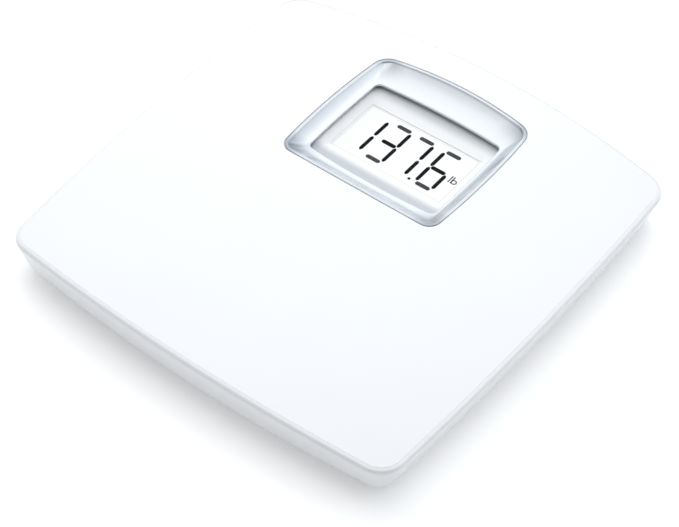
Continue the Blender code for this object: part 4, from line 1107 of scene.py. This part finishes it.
def cover_ribs(material, foot_x, foot_y):
    """The ribs under the shell's top, which stop short of the display's bay."""
    builder = bmesh.new()
    bay = ((BEZEL_LOW.x - BAY_MARGIN, BEZEL_HIGH.x + BAY_MARGIN),
           (BEZEL_LOW.y - BAY_MARGIN, BEZEL_HIGH.y + BAY_MARGIN))
    places = [(0, foot_y * share) for share in (-1, -0.5, 0, 1)]
    places += [(1, foot_x * share) for share in (-1, -0.45, 0, 0.45, 1)]
    for axis, place in places:
        low, high = inside_span(axis, place)
        crosses_bay = bay[1 - axis][0] < place < bay[1 - axis][1]
        spans = [(low, bay[axis][0]), (bay[axis][1], high)] if crosses_bay else [(low, high)]
        for start, end in spans:
            add_rib(builder, axis, place, start, end)
    seed = make_piece("rib_seed", builder, material)
    return rib_layout().grow(
        seed, "cover_ribs", material, Top=TOP - WALL, Bottom=RIB_BOTTOM,
        Side_Drop=CROWN_SIDE_DROP * (2 / WIDTH) ** 2, End_Drop=CROWN_END_DROP * (2 / DEPTH) ** 2)


def grid_of(layout, seed, name, material, spots, z, turn=0.0, count=0):
    """A piece with the seed at the corners of the grid whose first and last spots are given."""
    (x0, y0), (x1, y1) = spots
    return layout.grow(
        seed, name, material, Columns=2, Rows=2, Width=x1 - x0, Depth=y1 - y0,
        Centre=((x0 + x1) / 2, (y0 + y1) / 2, z), Turn=turn, Seed=count)


def screw_posts(layout, name, spots, material):
    """Posts that hang from the shell down to the tray, where its screws run into them."""
    x, y = spots[1]
    height = crown(x, y) - WALL - TRAY_TOP - GAP
    radius = TRAY_SCREW[2] + BOSS_WALL
    soft = HEAD_ROUND
    seed = lathe("post_seed", (0, 0), [
        (radius - soft, 0), (radius, soft), (radius + soft, height)], material, SMALL_LATHE_STEPS)
    return grid_of(layout, seed, name, material, spots, TRAY_TOP + GAP)


# --- Screws ---------------------------------------------------------------------------------------


def cross_recess(reach, half, low, high):
    """A cutter with the cross-shaped outline of a driver's tip."""
    corners = [(half, -reach), (half, -half), (reach, -half)]
    points = []
    for turn in range(4):
        quarter = Matrix.Rotation(math.radians(90 * turn), 2)
        points += [tuple(quarter @ Vector(corner)) for corner in corners]
    builder = bmesh.new()
    plate(builder, points, low, high)
    return make_piece("recess_cutter", builder, None)


def screw_seed(size, material):
    """A pan-head screw, head down, with its seat at the origin."""
    head, head_height, shank, length = size
    soft = HEAD_ROUND
    profile = [
        (head * 0.45, -head_height), (head * 0.75, -head_height + soft * 0.25),
        (head - soft * 0.3, -head_height + soft), (head, -head_height + soft * 1.8), (head, -soft * 0.3),
        (head - soft * 0.3, 0), (shank, 0)]
    turns = round((length - 2 * THREAD_PITCH) / THREAD_PITCH)
    for turn in range(turns):
        z = THREAD_PITCH * (turn + 0.5)
        profile += [(shank - THREAD_DEPTH, z), (shank, z + THREAD_PITCH * 0.5)]
    profile += [(shank - THREAD_DEPTH, length - THREAD_PITCH), (shank * 0.2, length)]
    seed = lathe("screw_seed", (0, 0), profile, material, SMALL_LATHE_STEPS)
    cutter = cross_recess(head * 0.58, head * 0.14, -head_height - soft, -head_height * 0.4)
    cut = seed.modifiers.new("recess", "BOOLEAN")
    cut.operation = "DIFFERENCE"
    cut.object = cutter
    return seed, cutter


def screw_group(layout, nodes, size, material, count):
    """One piece for the four screws of a group, each turned as its driver left it."""
    boxes = [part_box(node) for node in nodes]
    middles = [((low[0] + high[0]) / 2, (low[1] + high[1]) / 2) for low, high in boxes]
    seed, cutter = screw_seed(size, material)
    seat = boxes[0][0][2] + size[1]
    piece = grid_of(
        layout, seed, f"{nodes[0]}_group", material, (min(middles), max(middles)), seat, math.tau / 4, count)
    bpy.data.objects.remove(cutter)
    settle(piece, ROOT, "screw_steel", *nodes)
    return min(middles), max(middles)


# --- Feet -----------------------------------------------------------------------------------------


def foot_cup(number, centre, material):
    """A round cup with a flange at its top and a boss that the load cell's tongue rests on."""
    low, high = (Vector(corner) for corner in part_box(f"foot_cup_{number}"))
    flange = (high.x - low.x) / 2
    soft = CUP_ROUND
    top = high.z - CUP_BOSS_HEIGHT
    under = top - CUP_FLANGE
    return lathe(f"foot_cup_{number}_finished", centre, [
        (CUP_RADIUS * 0.4, low.z), (CUP_RADIUS - soft * 3, low.z),
        (CUP_RADIUS - soft * 1.5, low.z + soft * 0.6), (CUP_RADIUS - soft * 0.4, low.z + soft * 1.8),
        (CUP_RADIUS, low.z + soft * 3.4),
        (CUP_RADIUS, under - soft / 3), (CUP_RADIUS + soft / 3, under), (flange - soft / 3, under),
        (flange, under + soft / 3), (flange, top - soft / 3), (flange - soft / 3, top),
        (CUP_BOSS_RADIUS + soft / 3, top), (CUP_BOSS_RADIUS, top + soft / 3),
        (CUP_BOSS_RADIUS, high.z - soft / 3), (CUP_BOSS_RADIUS - soft / 3, high.z)], material)


def foot_pad(number, centre, material):
    """A rubber disc with two flat rings that stand on the floor and a groove between them."""
    low, high = (Vector(corner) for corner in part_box(f"foot_pad_{number}"))
    radius = (high.x - low.x) / 2
    soft, groove = PAD_ROUND, low.z + TREAD_SIZE[2]
    inner, outer = TREAD_RADIUS - TREAD_SIZE[0], TREAD_RADIUS + TREAD_SIZE[0]
    return lathe(f"foot_pad_{number}_finished", centre, [
        (radius * 0.2, groove), (radius * 0.26, groove), (radius * 0.3, low.z), (inner - soft / 2, low.z),
        (inner, groove), (outer, groove), (outer + soft / 2, low.z), (radius - soft, low.z),
        (radius - soft * 0.3, low.z + soft * 0.3), (radius, low.z + soft), (radius, high.z - soft),
        (radius - soft * 0.3, high.z - soft * 0.3), (radius - soft, high.z)], material)


def feet(plastic, soft_rubber):
    """Each foot's cup, its pad and the blocks of tread in the pad's groove."""
    layout = circle_layout()
    for number in range(1, 5):
        low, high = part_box(f"foot_pad_{number}")
        centre = ((low[0] + high[0]) / 2, (low[1] + high[1]) / 2)
        body = f"foot_{number}"
        settle(foot_cup(number, centre, plastic), body, "tray_plastic", f"foot_cup_{number}")
        settle(foot_pad(number, centre, soft_rubber), body, "rubber", f"foot_pad_{number}")
        seed = seed_box(TREAD_SIZE, (0, 0, TREAD_SIZE[2] / 2 + low[2]), TREAD_EDGE)
        treads = layout.grow(
            seed, f"foot_treads_{number}", soft_rubber, Count=TREAD_COUNT, Radius=TREAD_RADIUS,
            Centre=(*centre, 0.0))
        settle(treads, body, "rubber")


# --- Battery, door and switch ---------------------------------------------------------------------


def coin_cell(material):
    """A pressed steel can with the smaller cap of its other pole on top."""
    low, high = (Vector(corner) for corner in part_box("coin_cell"))
    centre = ((low.x + high.x) / 2, (low.y + high.y) / 2)
    can = (high.x - low.x) / 2
    cap, soft, shoulder = can - COIN_SHOULDER, COIN_ROUND, high.z - COIN_CAP_HEIGHT
    return lathe("coin_cell_finished", centre, [
        (can * 0.5, low.z), (can - soft * 2, low.z), (can - soft * 0.5, low.z + soft * 0.5),
        (can, low.z + soft * 2), (can, shoulder - soft), (can - soft * 0.5, shoulder - soft * 0.2),
        (can - soft, shoulder), (cap, shoulder), (cap - soft * 0.3, shoulder + soft),
        (cap - soft, high.z - soft * 0.3), (cap - soft * 2, high.z)], material)


def ridges(name, size, rows, columns, pitch, centre, material):
    """Small raised bars for a finger's grip."""
    seed = seed_box(size, (0, 0, 0), size[2] * 0.3)
    return grid_layout().grow(
        seed, name, material, Columns=columns, Rows=rows, Width=pitch * (columns - 1),
        Depth=pitch * (rows - 1), Centre=centre, Turn=0.0, Seed=0)


def battery_and_switch(plastic, black, knob_black):
    """The coin cell, its door with grips, and the unit switch with its ridged knob."""
    settle(coin_cell(coin_steel()), ROOT, "steel", "coin_cell")
    settle(softened("battery_door", plastic, 0.0002), "battery_door", "tray_plastic", "battery_door")
    low, high = (Vector(corner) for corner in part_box("battery_door"))
    spot = ((low.x + high.x) / 2, high.y - GRIP_INSET, low.z)
    grips = ridges("door_grips", GRIP_SIZE, GRIP_COUNT, 1, GRIP_PITCH, spot, plastic)
    settle(grips, "battery_door", "tray_plastic")
    settle(softened("unit_switch_body", black), ROOT, "black_plastic", "unit_switch_body")
    settle(softened("unit_switch_knob", knob_black), "unit_switch_knob", "black_plastic", "unit_switch_knob")
    low, high = (Vector(corner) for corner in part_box("unit_switch_knob"))
    spot = ((low.x + high.x) / 2, (low.y + high.y) / 2, low.z)
    grips = ridges("knob_ridges", KNOB_RIDGE, 1, KNOB_RIDGE_COUNT, KNOB_RIDGE_PITCH, spot, knob_black)
    settle(grips, "unit_switch_knob", "black_plastic")


# --- Tray, load cells, leads and board ------------------------------------------------------------


def inner_parts(plastic, black):
    """The CAD's own pieces inside the shell, with their edges broken and each with its own finish."""
    settle(softened("base_tray", plastic, 0.0002), ROOT, "tray_plastic", "base_tray")
    plate_steel, film = rolled_steel(), gauge_film()
    white = vinyl("wire_white", (0.74, 0.74, 0.72), (0.82, 0.82, 0.80))
    for number in range(1, 5):
        cell, gauge, wire = (f"{kind}_{number}" for kind in ("load_cell", "strain_gauge", "sensor_lead"))
        settle(softened(cell, plate_steel), ROOT, "steel", cell)
        settle(softened(gauge, film, 0.00008), ROOT, "gauge_film", gauge)
        settle(softened(wire, white, 0, 60), ROOT, "wire_white", wire)
    nickel = grained(
        "contact_nickel", (0.62, 0.58, 0.52), (0.72, 0.69, 0.63), (0.22, 0.36), 1800, 0.000006, 1.0)
    can = grained(
        "crystal_can", (0.60, 0.61, 0.62), (0.72, 0.72, 0.72), (0.2, 0.34), 1500, 0.000004, 1.0)
    others = {  # slot, finish, width of the broken edges
        "battery_contact_negative": ("contact_metal", nickel, 0.00006),
        "battery_contact_positive": ("contact_metal", nickel, 0.00006),
        "circuit_board": ("board_green", board_green(), 0.00012),
        "control_chip": ("black_plastic", epoxy(), 0.0001),
        "timing_crystal": ("steel", can, 0.0003),
        "buffer_capacitor": ("black_plastic", black, 0.0002),
        "lcd_holder": ("black_plastic", black, 0.00015),
        "lcd_reflector": ("reflector", reflector(), 0.00008),
        "zebra_strip": ("black_plastic", zebra(), 0.0001),
    }
    for node, (slot, material, bevel) in others.items():
        settle(softened(node, material, bevel), ROOT, slot, node)
    dark = vinyl("wire_black", (0.012, 0.012, 0.013), (0.022, 0.022, 0.024))
    red = vinyl("wire_red", (0.42, 0.015, 0.012), (0.52, 0.025, 0.018))
    settle(softened("battery_lead_negative", dark, 0, 60), ROOT, "black_plastic", "battery_lead_negative")
    settle(softened("battery_lead_positive", red, 0, 60), ROOT, "wire_red", "battery_lead_positive")


def fasteners(white):
    """Every screw, and the shell's posts that the tray's screws run into."""
    layout = grid_layout()
    zinc = zinc_plate()
    groups = (("tray_screw", (1, 2, 3, 4)), ("tray_screw", (5, 6, 7, 8)), ("board_screw", (1, 2, 3, 4)),
              ("display_screw", (1, 2, 3, 4)))
    for count, (kind, numbers) in enumerate(groups):
        size = TRAY_SCREW if kind == "tray_screw" else SMALL_SCREW
        spots = screw_group(layout, [f"{kind}_{number}" for number in numbers], size, zinc, count)
        if kind == "tray_screw":
            settle(screw_posts(layout, f"shell_posts_{count}", spots, white), ROOT, "platform_white")


# --- Lighting, floor and camera -------------------------------------------------------------------


def white_floor():
    """A pale floor under the scale."""
    builder = bmesh.new()
    bmesh.ops.create_grid(builder, x_segments=8, y_segments=8, size=FLOOR_REACH)
    floor = make_piece("studio_floor", builder, floor_white())


def bright_room():
    """The light of the room from every side: bluer below, with softboxes and unlit parts."""
    world = bpy.data.worlds.new("studio")
    bpy.context.scene.world = world
    world.use_nodes = True
    graph = Graph(world.node_tree)
    direction = graph.add("ShaderNodeTexCoord", output=0)
    z = graph.add("ShaderNodeSeparateXYZ", None, {0: direction}, output=2)
    colour = graph.add("ShaderNodeValToRGB", {"stops": ROOM_COLOURS}, {0: z})
    background = world.node_tree.nodes["Background"]
    world.node_tree.links.new(colour.socket, background.inputs["Color"])
    strength = SKY
    for towards, start, full, added in ROOM:
        facing = graph.add(
            "ShaderNodeVectorMath", {"operation": "DOT_PRODUCT"}, {0: direction, 1: towards}, output=1)
        strength = strength + graph.add(
            "ShaderNodeMapRange", {"interpolation_type": "SMOOTHSTEP"},
            {0: facing, 1: start, 2: full, 4: added})
    world.node_tree.links.new(strength.socket, background.inputs["Strength"])


def add_lamp(name, kind, power, place):
    """A lamp of the kind given, pointing straight down."""
    lamp = bpy.data.objects.new(name, bpy.data.lights.new(name, kind))
    bpy.context.scene.collection.objects.link(lamp)
    lamp.data.energy = power
    lamp.location = place
    return lamp


def lamps():
    """A large soft key above and behind, and a pool of light from overhead."""
    key = add_lamp("key_softbox", "AREA", KEY_POWER, KEY_PLACE)
    key.data.shape = "RECTANGLE"
    key.data.size, key.data.size_y = KEY_SIZE
    key.visible_glossy = False  # the room's own softboxes make the reflections
    key.rotation_euler = KEY_PLACE.to_track_quat("Z", "Y").to_euler()
    pool = add_lamp("pool_lamp", "SPOT", POOL_POWER, POOL_PLACE)
    pool.data.spot_size = math.radians(POOL_SPREAD)
    pool.data.spot_blend = 1.0
    pool.data.shadow_soft_size = POOL_RADIUS


def camera():
    """A long lens from the front right corner, looking down at the platform."""
    level = math.cos(CAMERA_ELEVATION)
    back = Vector((
        math.sin(CAMERA_AZIMUTH) * level, -math.cos(CAMERA_AZIMUTH) * level, math.sin(CAMERA_ELEVATION)))
    lens = bpy.data.cameras.new("camera")
    lens.lens = CAMERA_LENS
    lens.sensor_width = 36
    eye = bpy.data.objects.new("camera", lens)
    bpy.context.scene.collection.objects.link(eye)
    eye.location = CAMERA_AIM + back * CAMERA_DISTANCE
    eye.rotation_euler = back.to_track_quat("Z", "Y").to_euler()
    bpy.context.scene.camera = eye


def settle(piece, body, slot, *nodes):
    """Rides the piece on a body and lets it stand for the CAD nodes; the slot is not used."""
    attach(piece, body)
    if nodes:
        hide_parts(*nodes)


def display():
    """Everything that the display shows, from the bezel down to the lit segments."""
    settle(display_bezel(bezel_silver()), ROOT, "bezel_silver", "display_bezel")
    settle(display_window(window_clear()), ROOT, "window_clear", "display_window")
    settle(display_surround(surround_fade()), ROOT, "surround_silver", "display_surround")
    settle(softened("lcd_glass", lcd_face()), ROOT, "lcd_glass", "lcd_glass")
    dark_ink = ink("segment_black", (0.0012, 0.0012, 0.0014))
    light_ink = ink("segment_grey", (0.045, 0.047, 0.05))
    unit_ink = ink("unit_grey", (0.012, 0.012, 0.013))
    for piece in lcd_readout(dark_ink, light_ink, unit_ink):
        settle(piece, ROOT, "lcd_glass")


def main():
    """Builds the room and every piece."""
    bpy.context.scene.view_settings.view_transform = "Standard"
    camera()
    white_floor()
    bright_room()
    lamps()
    white = platform_white()
    plastic = tray_plastic()
    black = grained(
        "moulded_black", (0.014, 0.014, 0.015), (0.024, 0.024, 0.026), (0.38, 0.55), 2600, 0.00002)
    knob_black = grained(
        "knob_black", (0.018, 0.018, 0.019), (0.03, 0.03, 0.032), (0.32, 0.46), 3600, 0.000015)
    low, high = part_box("foot_pad_3")
    settle(platform_cover(white), ROOT, "platform_white", "platform_cover")
    settle(cover_ribs(white, (low[0] + high[0]) / 2, (low[1] + high[1]) / 2), ROOT, "platform_white")
    display()
    fasteners(white)
    feet(plastic, pad_rubber())
    battery_and_switch(plastic, black, knob_black)
    inner_parts(plastic, black)


main()
